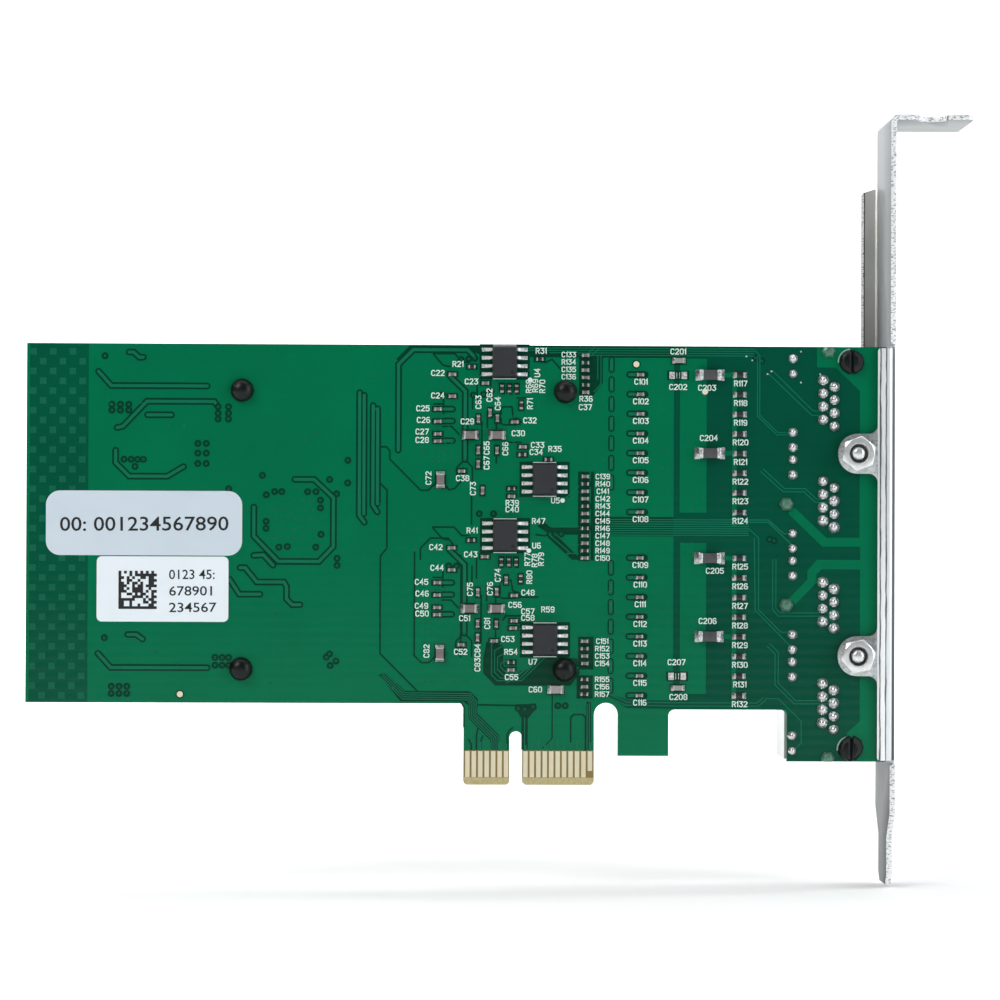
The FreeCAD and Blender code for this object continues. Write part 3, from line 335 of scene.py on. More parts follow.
# Tinted clear epoxy: milky colour with some depth and a glassy face
green_lamp = finish("green_tinted_lamp_body", "#8fd48a", "#6fbf6c", 2.0, (0.12, 0.2), 0.5, 0.002,
                    settings={"Transmission Weight": 0.35, "IOR": 1.5})
amber_lamp = finish("amber_tinted_lamp_body", "#e7b24f", "#d79a34", 2.0, (0.12, 0.2), 0.5, 0.002,
                    settings={"Transmission Weight": 0.35, "IOR": 1.5})
# Filled silicone: chalky grey, no shine
pad_grey = finish("grey_silicone_pad", "#a9abad", "#919395", 2.0, (0.6, 0.75), 0.3, 0.02)
# Pressed and fired ferrite: dull charcoal with a gritty face
ferrite = finish("sintered_ferrite", "#37383a", "#28292b", 1.5, (0.55, 0.7), 0.15, 0.02)
# Moulded tantalum body: mustard epoxy, with a burnt-in brown stripe
tantalum = finish("yellow_tantalum_case", "#c9953a", "#b5822c", 2.0, (0.42, 0.55), 0.2, 0.008)
dark_mark = finish("dark_brown_polarity_stripe", "#4a3320", "#3b2818", 1.0, (0.4, 0.5), 0.2, 0.004)
# Coated label stock: cool white, one roll bluer and greyer than the other, eggshell shine
paper = finish("coated_label_paper", "#d3dfe9", "#c6d3de", 9.0, (0.4, 0.52), 0.3, 0.004)
bright_paper = finish("bright_label_paper", "#eff6fb", "#e4eef5", 9.0, (0.4, 0.52), 0.3, 0.004)
# Thermal-transfer resin: flat black
print_ink = finish("thermal_print_ink", "#121517", "#0c0e10", 0.4, (0.5, 0.6), 0.15, 0.002)
# The inside of a hole or slot that no light reaches
dark_gap = finish("open_hole_shadow", "#0a1511", "#050b09", 1.0, (0.6, 0.7), 0.2, 0.002)
floor_white = make_backdrop()


# ---------------------------------------------------------------- making meshes

def land(name, mesh, material, replaces=()):
    """Puts a finished mesh on the part: its finish, its body, and the CAD parts it replaces hidden."""
    piece = bpy.data.objects.new(name, mesh)
    bpy.context.scene.collection.objects.link(piece)
    if material is not None:
        mesh.materials.clear()
        mesh.materials.append(material)
    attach(piece, "root")
    if replaces:
        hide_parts(*replaces)
    return piece


def to_mesh(name, shape, smooth_angle=None):
    """The shape as a mesh, smooth except across edges sharper than an angle in degrees."""
    mesh = bpy.data.meshes.new(name)
    shape.to_mesh(mesh)
    shape.free()
    if smooth_angle is not None:
        mesh.shade_smooth()
        mesh.set_sharp_from_angle(angle=math.radians(smooth_angle))
    return mesh


def absorb(shape, part):
    """Moves all of one shape into another."""
    scratch = bpy.data.meshes.new("scratch")
    part.to_mesh(scratch)
    part.free()
    shape.from_mesh(scratch)
    bpy.data.meshes.remove(scratch)


def skin(shape, rows, closed=True):
    """Joins neighbouring rows of corners with faces, and each row's end to its start where closed."""
    count = len(rows[0])
    for one, two in zip(rows, rows[1:]):
        for index in range(count if closed else count - 1):
            after = (index + 1) % count
            shape.faces.new((one[index], one[after], two[after], two[index]))


def face_out(shape):
    """Turns a closed shape's faces outwards, also where it is too small for the usual test."""
    bmesh.ops.recalc_face_normals(shape, faces=shape.faces)
    if shape.calc_volume(signed=True) < 0:
        bmesh.ops.reverse_faces(shape, faces=shape.faces)


def face_toward(shape, side):
    """Turns flat faces to one side of the board."""
    for face in shape.faces:
        face.normal_update()
        if face.normal.y * side < 0:
            face.normal_flip()


def around(x, z, radius, first, last, steps):
    """Points on an arc about (x, z), from one angle in degrees to another."""
    turns = [math.radians(first + (last - first) * step / steps) for step in range(steps + 1)]
    return [(x + radius * math.cos(turn), z + radius * math.sin(turn)) for turn in turns]


class Layer:
    """Thin raised shapes on one face of the board, with x and z in the part's frame."""

    def __init__(self, side, low, top):
        self.side = side
        self.low = low
        self.top = top
        self.shape = bmesh.new()

    def lift(self):
        """Sets the next shape a hair higher, so that no two overlap in one plane."""
        self.top += LIFT

    def vertex(self, x, z, height):
        """A corner at a height above the board's face."""
        return self.shape.verts.new((x * MM, self.side * (HALF_BOARD + height) * MM, z * MM))

    def polygon(self, corners):
        """A flat area inside the line through its corners."""
        self.lift()
        self.piece(corners)

    def piece(self, corners):
        """One flat piece with walls down to the board, its corners in the order that faces out."""
        loop = zip(corners, corners[1:] + corners[:1])
        if sum(one[0] * two[1] - two[0] * one[1] for one, two in loop) * self.side > 0:
            corners = corners[::-1]
        upper = [self.vertex(x, z, self.top) for x, z in corners]
        lower = [self.vertex(x, z, self.low) for x, z in corners]
        self.shape.faces.new(upper)
        for index in range(len(corners)):
            after = (index + 1) % len(corners)
            self.shape.faces.new((upper[index], lower[index], lower[after], upper[after]))

    def rectangle(self, left, low, right, high):
        """A flat area between two values of x and two of z."""
        self.polygon([(left, low), (right, low), (right, high), (left, high)])

    def disc(self, x, z, radius, flats=20):
        """A flat round area centred on (x, z)."""
        self.polygon(around(x, z, radius, 0, 360, flats)[:-1])

    def path(self, points, width, round_ends=True):
        """Track of one width along points, with mitred corners and round ends."""
        self.lift()
        half = width / 2
        spots = [Vector(point) for point in points]
        runs = [(b - a).normalized() for a, b in zip(spots, spots[1:])]
        left = []
        right = []
        for index, spot in enumerate(spots):
            back = runs[max(index - 1, 0)]
            ahead = runs[min(index, len(runs) - 1)]
            way = (back + ahead).normalized()
            side = Vector((-way.y, way.x))
            reach = half / max(side.dot(Vector((-ahead.y, ahead.x))), 0.35)
            left.append(spot + side * reach)
            right.append(spot - side * reach)
        for index in range(len(runs)):
            self.piece([left[index], right[index], right[index + 1], left[index + 1]])
        if round_ends:
            for spot, way in ((spots[0], -runs[0]), (spots[-1], runs[-1])):
                heading = math.degrees(math.atan2(way.y, way.x))
                self.piece(around(spot.x, spot.y, half, heading - 90, heading + 90, 6))

    def place(self, name, material, slot="solder_mask"):
        """Puts the whole layer on the part as one piece."""
        return land(name, to_mesh(name, self.shape), material)


def lathe(profile, flats, x=0.0, z=0.0):
    """Turned shape about the Y line through (x, z), from stations of (radius, y)."""
    shape = bmesh.new()
    rows = []
    for radius, y in profile:
        if radius == 0:
            rows.append([shape.verts.new((x * MM, y * MM, z * MM))])
            continue
        rows.append([shape.verts.new((u * MM, y * MM, v * MM))
                     for u, v in around(x, z, radius, 0, 360, flats)[:-1]])
    for one, two in zip(rows, rows[1:]):
        for index in range(flats):
            after = (index + 1) % flats
            if len(one) == 1:
                shape.faces.new((one[0], two[index], two[after]))
            elif len(two) == 1:
                shape.faces.new((one[index], two[0], one[after]))
            else:
                shape.faces.new((one[index], two[index], two[after], one[after]))
    for row in (rows[0], rows[-1]):
        if len(row) > 1:
            shape.faces.new(row)
    face_out(shape)
    return shape


def block(shape, low, high):
    """Adds a box to a shape, from one corner to the other."""
    for vertex in bmesh.ops.create_cube(shape, size=1.0)["verts"]:
        for axis in range(3):
            centre = (low[axis] + high[axis]) / 2
            vertex.co[axis] = (centre + vertex.co[axis] * (high[axis] - low[axis])) * MM


def solids(node):
    """Low and high corners of each separate solid that a CAD node holds."""
    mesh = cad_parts[node].data
    group = {}

    def root(key):
        while group[key] != key:
            group[key] = group[group[key]]
            key = group[key]
        return key

    keys = [tuple(round(c / MM, 3) for c in vertex.co) for vertex in mesh.vertices]
    for key in keys:
        group.setdefault(key, key)
    for face in mesh.polygons:
        corners = [keys[index] for index in face.vertices]
        for other in corners[1:]:
            group[root(corners[0])] = root(other)
    found = {}
    for key in group:
        found.setdefault(root(key), []).append(key)
    boxes = []
    for points in found.values():
        low = [min(p[axis] for p in points) for axis in range(3)]
        high = [max(p[axis] for p in points) for axis in range(3)]
        boxes.append((low, high))
    return sorted(boxes)


def softened(node, material, radius):
    """The node's own shape with its sharp edges broken by a small radius."""
    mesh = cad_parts[node].data.copy()
    mesh.name = node + "_finished"
    shape = bmesh.new()
    shape.from_mesh(mesh)
    bmesh.ops.remove_doubles(shape, verts=shape.verts, dist=0.0005 * MM)
    bmesh.ops.dissolve_limit(shape, angle_limit=math.radians(1), verts=shape.verts, edges=shape.edges)
    shape.to_mesh(mesh)
    shape.free()
    piece = bpy.data.objects.new(node + "_finished", mesh)
    bpy.context.scene.collection.objects.link(piece)
    edge = piece.modifiers.new("edge", "BEVEL")
    edge.width = radius * MM
    edge.segments = 2
    edge.limit_method = "ANGLE"
    edge.angle_limit = math.radians(35)
    edge.harden_normals = False
    graph = bpy.context.evaluated_depsgraph_get()
    finished = bpy.data.meshes.new_from_object(piece.evaluated_get(graph))
    bpy.data.objects.remove(piece)
    finished.shade_smooth()
    finished.set_sharp_from_angle(angle=math.radians(40))
    return land(node + "_finished", finished, material, (node,))


# ---------------------------------------------------------------- repeated pieces

def make_repeat_tree():
    """Copies of one template on every point, each turned and sized by the point's own values."""
    tree = bpy.data.node_groups.new("copies_on_places", "GeometryNodeTree")
    face = tree.interface
    face.new_socket("Geometry", in_out="OUTPUT", socket_type="NodeSocketGeometry")
    face.new_socket("Geometry", in_out="INPUT", socket_type="NodeSocketGeometry")
    for name, kind, value in (("Template", "Object", None), ("Finish", "Material", None),
                              ("Size spread", "Float", 0.0), ("Turn spread", "Float", 0.0),
                              ("Seed", "Int", 1)):
        socket = face.new_socket(name, in_out="INPUT", socket_type="NodeSocket" + kind)
        if value is not None:
            socket.default_value = value
    given = add(tree, "NodeGroupInput")
    template = add(tree, "GeometryNodeObjectInfo", links={"Object": (given, "Template")})
    size = add(tree, "GeometryNodeInputNamedAttribute", {"data_type": "FLOAT_VECTOR"}, {"Name": "size"})
    turn = add(tree, "GeometryNodeInputNamedAttribute", {"data_type": "FLOAT"}, {"Name": "turn"})
    least = add(tree, "ShaderNodeMath", {"operation": "SUBTRACT"}, {0: 1.0}, {1: (given, "Size spread")})
    most = add(tree, "ShaderNodeMath", {"operation": "ADD"}, {0: 1.0}, {1: (given, "Size spread")})
    vary = add(tree, "FunctionNodeRandomValue", {"data_type": "FLOAT"},
               links={2: (least, "Value"), 3: (most, "Value"), "Seed": (given, "Seed")})
    scaled = add(tree, "ShaderNodeVectorMath", {"operation": "SCALE"},
                 links={0: (size, "Attribute"), "Scale": (vary, 1)})
    down = add(tree, "ShaderNodeMath", {"operation": "MULTIPLY"}, {1: -1.0}, {0: (given, "Turn spread")})
    swing = add(tree, "FunctionNodeRandomValue", {"data_type": "FLOAT"},
                links={2: (down, "Value"), 3: (given, "Turn spread"), "Seed": (given, "Seed")})
    about = add(tree, "ShaderNodeMath", {"operation": "ADD"}, links={0: (turn, "Attribute"), 1: (swing, 1)})
    rotation = add(tree, "ShaderNodeCombineXYZ", links={"Y": (about, "Value")})
    copies = add(tree, "GeometryNodeInstanceOnPoints",
                 links={"Points": (given, "Geometry"), "Instance": (template, "Geometry"),
                        "Rotation": (rotation, "Vector"), "Scale": (scaled, "Vector")})
    real = add(tree, "GeometryNodeRealizeInstances", links={"Geometry": (copies, "Instances")})
    painted = add(tree, "GeometryNodeSetMaterial",
                  links={"Geometry": (real, "Geometry"), "Material": (given, "Finish")})
    add(tree, "NodeGroupOutput", links={"Geometry": (painted, "Geometry")})
    return tree


def make_coil_tree():
    """Round wire wound along the Z axis."""
    tree = bpy.data.node_groups.new("wound_wire", "GeometryNodeTree")
    face = tree.interface
    face.new_socket("Geometry", in_out="OUTPUT", socket_type="NodeSocketGeometry")
    face.new_socket("Geometry", in_out="INPUT", socket_type="NodeSocketGeometry")
    for name, kind, value in (("Turns", "Float", 4.0), ("Coil radius", "Float", 0.002),
                              ("Length", "Float", 0.003), ("Wire radius", "Float", 0.0003),
                              ("Finish", "Material", None)):
        socket = face.new_socket(name, in_out="INPUT", socket_type="NodeSocket" + kind)
        if value is not None:
            socket.default_value = value
    given = add(tree, "NodeGroupInput")
    spiral = add(tree, "GeometryNodeCurveSpiral", values={"Resolution": 20},
                 links={"Rotations": (given, "Turns"), "Start Radius": (given, "Coil radius"),
                        "End Radius": (given, "Coil radius"), "Height": (given, "Length")})
    section = add(tree, "GeometryNodeCurvePrimitiveCircle", values={"Resolution": 8},
                  links={"Radius": (given, "Wire radius")})
    swept = add(tree, "GeometryNodeCurveToMesh", values={"Fill Caps": True},
                links={"Curve": (spiral, "Curve"), "Profile Curve": (section, "Curve")})
    smooth = add(tree, "GeometryNodeSetShadeSmooth", links={"Geometry": (swept, "Mesh")})
    real = add(tree, "GeometryNodeRealizeInstances", links={"Geometry": (smooth, "Geometry")})
    painted = add(tree, "GeometryNodeSetMaterial",
                  links={"Geometry": (real, "Geometry"), "Material": (given, "Finish")})
    add(tree, "NodeGroupOutput", links={"Geometry": (painted, "Geometry")})
    return tree


repeat_tree = make_repeat_tree()
coil_tree = make_coil_tree()


def grown(tree, start, values):
    """Runs a node tree on a start mesh and returns the plain mesh it makes."""
    holder = bpy.data.objects.new("holder", start)
    bpy.context.scene.collection.objects.link(holder)
    maker = holder.modifiers.new("maker", "NODES")
    maker.node_group = tree
    for socket in tree.interface.items_tree:
        if socket.in_out == "INPUT" and socket.name in values:
            maker[socket.identifier] = values[socket.name]
    graph = bpy.context.evaluated_depsgraph_get()
    mesh = bpy.data.meshes.new_from_object(holder.evaluated_get(graph))
    bpy.data.objects.remove(holder)
    return mesh


def repeat(name, places, template, material, spread=0.0, swing=0.0, seed=1, replaces=()):
    """Copies of a template at (x, y, z, turn in degrees, size), where size is one number or three."""
    points = bpy.data.meshes.new(name + "_places")
    points.from_pydata([(x * MM, y * MM, z * MM) for x, y, z, turn, size in places], [], [])
    points.attributes.new("size", "FLOAT_VECTOR", "POINT")
    points.attributes.new("turn", "FLOAT", "POINT")
    sizes = points.attributes["size"]
    turns = points.attributes["turn"]
    for index, (x, y, z, turn, size) in enumerate(places):
        sizes.data[index].vector = size if isinstance(size, (tuple, list)) else (size, size, size)
        turns.data[index].value = math.radians(turn)
    pattern = bpy.data.objects.new("pattern", template)
    bpy.context.scene.collection.objects.link(pattern)
    mesh = grown(repeat_tree, points, {"Template": pattern, "Finish": material, "Size spread": spread,
                                       "Turn spread": math.radians(swing), "Seed": seed})
    bpy.data.objects.remove(pattern)
    return land(name, mesh, material, replaces)


def bevelled_boxes(name, boxes, radius, segments=1, smooth_angle=50):
    """Template of boxes, each (low corner, high corner), with broken edges."""
    shape = bmesh.new()
    for low, high in boxes:
        block(shape, low, high)
    bmesh.ops.bevel(shape, geom=list(shape.edges), offset=radius * MM, segments=segments, affect="EDGES",
                    profile=0.5, clamp_overlap=True)
    return to_mesh(name, shape, smooth_angle)


# ---------------------------------------------------------------- places taken from the solids

def middle(box):
    """The point halfway between two corners."""
    low, high = box
    return [(low[axis] + high[axis]) / 2 for axis in range(3)]


def chip_places(node, side):
    """A point on the board's face under each chip, with the chip's length, height and width."""
    places = []
    for low, high in solids(node):
        length = high[0] - low[0]
        width = high[2] - low[2]
        x, y, z = middle((low, high))
        upright = width > length
        size = (max(length, width), high[1] - low[1], min(length, width))
        places.append((x, side * HALF_BOARD, z, 90 if upright else 0, size))
    return places


board_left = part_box("circuit_board")[0].x / MM
small_caps = chip_places("small_capacitors", FRONT)
small_resistors = chip_places("small_resistors", FRONT)
tap_caps = chip_places("centre_tap_capacitors", FRONT)
line_resistors = chip_places("line_resistors", FRONT)
surge_caps = chip_places("surge_capacitors", FRONT)
bypass_caps = chip_places("bypass_capacitors", FRONT)
memories = [middle(box) for box in solids("memory_chips")]
joints = [middle(box) for box in solids("contact_joints")]
lamp_joints = [middle(box) for box in solids("lamp_joints")]


# ---------------------------------------------------------------- board artwork

EMPTY_PADS = ((25.0, 63.6), (25.0, 16.9))


def draw_copper_ground():
    """Dark laminate showing between copper areas, then the copper areas that stand on it."""
    deep = Layer(FRONT, 0.0, CLEARANCE_TOP)
    # along the top edge, then down the column of small chips
    deep.polygon([(-16.6, 68.1), (-18.8, 65.9), (-17.9, 65.4), (-15.9, 67.05), (-6.6, 67.05), (-5.0, 66.3),
                  (24.35, 66.3), (24.35, 68.1)])
    deep.polygon([(9.6, 67.9), (13.3, 67.9), (13.3, 62.4), (11.8, 60.4), (9.6, 60.4)])
    deep.rectangle(9.5, 34.8, 12.0, 48.6)
    deep.rectangle(9.6, 17.9, 12.0, 23.0)
    deep.rectangle(9.4, 13.4, 11.9, 17.0)
    # the bus across the middle, with two lines that lead off it
    deep.rectangle(12.0, 38.6, 24.35, 41.6)
    deep.polygon([(3.2, 40.1), (5.2, 38.8), (9.5, 38.8), (9.5, 39.9), (5.4, 39.9), (4.0, 41.2)])
    deep.polygon([(4.8, 38.9), (6.0, 38.9), (9.6, 35.4), (9.6, 34.9), (8.6, 34.9), (4.8, 38.4)])
    for x, y, z in memories:
        deep.rectangle(x - 3.9, z - 2.75, x + 3.9, z + 2.75)
    # under the lowest memory, round the lines that leave it
    deep.polygon([(4.3, 19.9), (9.5, 19.6), (9.9, 17.3), (8.4, 15.4), (-3.3, 15.4), (-5.1, 17.3),
                  (-5.1, 19.6), (-4.6, 22.2), (-2.0, 21.6), (-2.0, 18.5), (-1.1, 17.7), (1.5, 17.7)])
    # band of lines along the lower edge, then down to the fingers, and the island with three holes
    deep.polygon([(-21.3, 17.0), (-20.2, 17.3), (-17.2, 14.55), (-7.0, 14.4), (-5.9, 13.3), (-6.0, 11.1),
                  (-2.6, 7.7), (-2.5, 5.5), (-3.8, 5.5), (-3.95, 6.9), (-7.35, 10.3), (-7.35, 12.3),
                  (-8.2, 12.9), (-17.9, 12.9)])
    deep.polygon([(-0.05, 12.5), (3.1, 12.6), (3.25, 11.9), (1.85, 10.3), (1.85, 5.5), (0.85, 5.5),
                  (0.85, 10.4), (0.1, 11.5)])
    deep.rectangle(10.85, 5.5, 11.65, 12.9)
    deep.place("laminate_between_copper", resist_on_laminate)

    left = Layer(FRONT, 0.0, CLEARANCE_TOP)
    left.rectangle(board_left + 0.5, 12.65, -66.3, 68.1)
    left.place("laminate_under_squares", resist_left)

    right = Layer(FRONT, 0.0, CLEARANCE_TOP)
    right.polygon([(24.35, 68.1), (57.35, 68.1), (57.35, 3.8), (42.1, 3.8), (42.1, 11.8), (24.35, 11.8)])
    right.polygon([(13.6, 14.3), (17.6, 13.2), (24.35, 13.2), (24.35, 11.85), (17.2, 11.95), (14.4, 13.6)])
    right.place("laminate_round_line_circuits", resist_right)

    copper = Layer(FRONT, 0.0, COPPER_TOP)
    # two broad strips among the line circuits
    copper.rectangle(25.3, 42.3, 29.45, 66.2)
    copper.rectangle(25.4, 14.2, 29.45, 37.6)
    # chassis ground round the jack's pins, with two arms in to the line circuits
    copper.polygon([(53.3, 61.3), (49.5, 64.95), (46.6, 64.95), (46.6, 68.05), (57.3, 68.05), (57.3, 3.85),
                    (51.4, 3.85), (51.4, 8.2), (53.4, 10.0), (53.4, 33.6), (47.4, 33.6), (46.6, 32.8),
                    (46.6, 31.5), (43.3, 28.1), (42.3, 29.0), (45.2, 32.0), (45.2, 33.4), (46.7, 35.05),
                    (53.4, 35.05), (53.4, 37.1), (47.5, 37.1), (42.2, 42.2), (43.0, 43.3), (48.1, 38.5),
                    (53.3, 38.5)])
    # one rail above and one below, with an arm to each surge capacitor
    copper.rectangle(33.45, 40.2, 34.15, 63.9)
    copper.rectangle(33.45, 13.2, 34.15, 35.4)
    for x, y, z, turn, size in surge_caps:
        copper.rectangle(x + 1.6, z - 0.35, 33.5, z + 0.35)
    copper.place("copper_areas", resist_on_copper)


SQUARE = 1.02
SQUARE_PITCH = 1.52


def draw_checker():
    """Stress-balancing copper squares down the board's left edge, every other cell of the grid."""
    squares = []
    for row in range(36):
        for column in range(6):
            z = 66.85 - row * SQUARE_PITCH
            if (row + column) % 2 == 0 and z > 13.2:
                x = board_left + 1.0 + column * SQUARE_PITCH
                squares.append((x, -HALF_BOARD, z, 0, (SQUARE, 1.0, SQUARE)))
    tile = bevelled_boxes("tile", [((-0.5, -COPPER_TOP, -0.5), (0.5, 0.0, 0.5))], 0.012, 1, 20)
    repeat("balancing_squares", squares, tile, resist_square)


# Outlined tracks on the left half, each a run of bends
WIDE_TRACKS = [
    [(-64.8, 63.8), (-62.8, 61.6), (-48.0, 61.6)],
    [(-61.9, 55.1), (-61.0, 55.3), (-57.3, 59.2), (-46.9, 59.2), (-46.3, 58.4)],
    [(-57.2, 57.1), (-53.5, 57.1)],
    [(-62.1, 51.6), (-62.1, 49.7), (-60.0, 47.6), (-54.1, 47.6), (-51.6, 49.1)],
    [(-60.1, 66.8), (-59.4, 66.8), (-58.5, 66.0), (-57.9, 66.0)],
    [(-60.1, 23.1), (-58.8, 23.1), (-57.8, 22.4)],
    [(-64.7, 20.2), (-62.7, 18.0), (-47.8, 18.0)],
    [(-40.7, 42.9), (-40.7, 38.4), (-36.9, 34.5), (-30.6, 34.5), (-28.4, 36.8), (-28.4, 44.4), (-31.4, 47.2),
     (-34.4, 47.2)],
    [(-40.7, 35.4), (-39.2, 35.5), (-37.7, 33.9)],
    [(-42.8, 33.5), (-42.0, 33.5), (-40.2, 31.3), (-36.0, 31.3), (-35.6, 30.6), (-35.6, 28.7), (-34.7, 27.8),
     (-33.5, 27.8)],
    [(-44.4, 31.7), (-42.9, 29.4), (-39.7, 29.4)],
    [(-18.4, 51.8), (-18.4, 65.1), (-16.1, 67.4), (-7.7, 67.4), (-6.8, 66.5)],
    [(-24.4, 60.7), (-24.4, 41.7), (-23.6, 40.6)],
    [(-23.7, 60.3), (-23.7, 41.9)],
    [(-22.3, 58.7), (-22.3, 43.3), (-21.6, 42.2)],
    [(-21.6, 58.2), (-21.6, 43.5)],
]
# Bare gaps that part one copper area from the next
GAPS = [
    [(-21.1, 52.3), (-20.2, 52.3), (-19.7, 51.7), (-19.7, 50.4), (-14.9, 45.6), (-13.7, 45.6), (-12.4, 46.9)],
    [(-21.1, 46.6), (-20.1, 45.6), (-20.1, 36.6), (-21.1, 35.4), (-21.1, 20.3), (-15.2, 14.4), (-7.3, 14.4)],
    [(-14.9, 34.9), (-14.9, 36.6), (-13.4, 38.2), (-10.6, 38.2), (-9.9, 37.3), (-9.9, 36.2), (-8.6, 35.4),
     (-8.6, 19.8)],
    [(-15.8, 36.0), (-15.8, 20.0), (-14.7, 18.9), (-13.5, 18.9), (-12.4, 20.0)],
    [(-11.5, 46.9), (-10.5, 45.7), (-9.6, 45.9), (-8.7, 47.0)],
    [(-7.0, 45.0), (-7.0, 40.4)],
    [(0.0, 60.0), (2.0, 60.0)],
    [(3.3, 29.1), (0.2, 29.1)],
    [(5.65, 14.0), (5.65, 7.2), (4.3, 5.8)],
    [(8.5, 5.4), (8.5, 10.5), (9.0, 10.95), (10.35, 10.95), (10.8, 10.5), (10.8, 5.4)],
    [(-5.8, 12.4), (0.0, 12.3)],
    [(-6.9, 5.5), (-6.9, 6.3), (-7.3, 7.0)],
    [(-6.1, 5.5), (-6.1, 7.6), (-5.9, 8.7)],
    [(-5.4, 5.5), (-5.4, 6.8), (-5.1, 7.6)],
    [(-1.35, 5.5), (-1.35, 7.7), (-1.05, 8.4), (-0.5, 8.85)],
    [(-8.6, 12.9), (-8.05, 12.0), (-8.05, 9.0)],
]
# The two memory chips on the left come with the same small tracks, one set under the other
PAIR_STEP = 26.9
PAIR_TRACKS = [
    [(-10.4, 63.3), (-8.05, 61.0), (-8.05, 50.4)],
    [(-11.3, 58.2), (-10.0, 58.2)],
    [(-11.3, 56.35), (-10.0, 56.35)],
    [(-11.3, 53.3), (-10.0, 53.3)],
]
PAIR_GAPS = [
    [(-13.0, 66.7), (-11.5, 65.0), (-10.4, 64.8)],
    [(-13.0, 66.8), (-9.7, 66.8), (-8.5, 65.5), (-7.4, 65.5)],
    [(-8.05, 50.4), (-9.3, 49.2), (-9.3, 47.4)],
    [(-8.05, 50.4), (-6.9, 49.2), (-6.9, 46.8)],
    [(-11.4, 60.0), (-11.4, 57.5)],
    [(-11.5, 55.5), (-10.1, 55.5), (-9.0, 54.3)],
    [(-12.9, 59.0), (-11.4, 59.0)],
    [(-5.45, 56.2), (-5.45, 48.9)],
    [(-4.6, 57.8), (-4.6, 55.4)],
    [(-6.9, 60.8), (-6.9, 58.3)],
    [(-6.2, 62.1), (-6.2, 58.9)],
    [(-3.2, 52.6), (-3.2, 49.9)],
    [(-3.9, 57.6), (-3.2, 56.9), (-3.2, 55.2)],
    [(-2.2, 55.8), (-2.5, 56.2), (-2.5, 58.3), (-2.1, 58.6), (-0.8, 58.6), (-0.6, 57.0), (0.3, 56.7)],
    [(-2.2, 55.8), (-0.2, 55.8), (0.7, 56.3)],
    [(0.6, 53.1), (-1.6, 53.1), (-2.1, 52.4)],
    [(3.0, 65.7), (4.4, 65.5), (5.4, 66.0), (6.9, 64.3)],
]
PAIR_LINES = [
    [(-3.6, 62.2), (-3.6, 61.2), (-4.4, 60.4)],
    [(-3.2, 62.2), (-3.2, 61.0), (-4.0, 60.2)],
    [(-2.1, 61.3), (-2.9, 60.3)],
    [(-0.9, 61.3), (-1.8, 60.2)],
    [(0.1, 61.2), (-1.0, 60.0)],
    [(-5.9, 63.9), (-6.9, 62.9)],
    [(-5.5, 63.6), (-6.7, 62.4)],
]
# Thin signal tracks on dark laminate
SIGNAL_TRACKS = [
    [(36.9, 67.6), (37.7, 66.7), (37.7, 57.5), (40.5, 54.8), (42.2, 54.8)],
    [(37.35, 66.7), (37.35, 57.35), (40.35, 54.45), (42.2, 54.45)],
    [(39.1, 63.9), (45.8, 57.5), (46.9, 57.5)],
    [(39.7, 64.4), (46.0, 58.2), (48.1, 58.2), (49.0, 57.2)],
    [(37.9, 48.7), (41.4, 45.6), (44.6, 45.6), (46.4, 44.0), (48.7, 44.0)],
    [(38.3, 49.1), (41.6, 46.1), (44.8, 46.1), (46.6, 44.5), (49.0, 44.5)],
    [(36.1, 39.8), (37.6, 38.4), (37.6, 27.3), (41.1, 23.8), (42.5, 23.8)],
    [(36.9, 38.4), (37.1, 27.2), (42.8, 21.4)],
    [(39.8, 35.1), (39.8, 27.3), (40.7, 26.3), (48.2, 26.3), (49.3, 25.3)],
    [(40.3, 35.1), (40.3, 27.5), (41.0, 26.8), (48.5, 26.8), (49.6, 25.8)],
    [(39.0, 21.6), (40.2, 20.4), (40.2, 15.6), (43.2, 12.7), (48.9, 12.7)],
    [(39.4, 22.0), (40.7, 20.7), (40.7, 15.9), (43.4, 13.2), (49.2, 13.2)],
    [(38.7, 13.5), (40.7, 13.5), (44.3, 10.0), (44.3, 6.6), (43.5, 5.8)],
    [(24.6, 12.3), (37.6, 12.3), (38.7, 13.2)],
    [(24.6, 12.8), (37.4, 12.8), (38.3, 13.6)],
    [(14.4, 14.1), (17.2, 12.9), (24.6, 12.8)],
    [(14.2, 13.7), (17.0, 12.4), (24.6, 12.3)],
    [(12.1, 22.3), (12.1, 19.3)],
    [(8.3, 19.9), (9.8, 21.3)],
    [(7.6, 16.4), (9.6, 18.3)],
    [(7.0, 16.8), (8.7, 18.4)],
    [(-1.8, 16.2), (4.6, 21.0)],
    [(-1.4, 15.8), (5.4, 20.9)],
    [(9.9, 46.6), (7.5, 44.4), (-0.6, 44.4)],
    [(9.6, 45.5), (7.9, 43.9), (0.4, 43.9)],
    [(9.6, 40.1), (5.2, 40.1), (4.0, 41.1)],
    [(5.1, 38.8), (8.4, 35.9), (9.6, 35.9)],
    [(6.2, 38.8), (7.9, 37.2), (9.6, 37.2)],
    [(11.9, 61.0), (13.0, 62.2), (13.0, 66.7)],
    [(12.5, 66.7), (12.5, 63.0)],
    [(10.9, 66.9), (12.0, 67.9)],
    [(11.5, 66.6), (12.6, 67.6)],
    [(11.4, 49.3), (11.4, 34.6)],
]
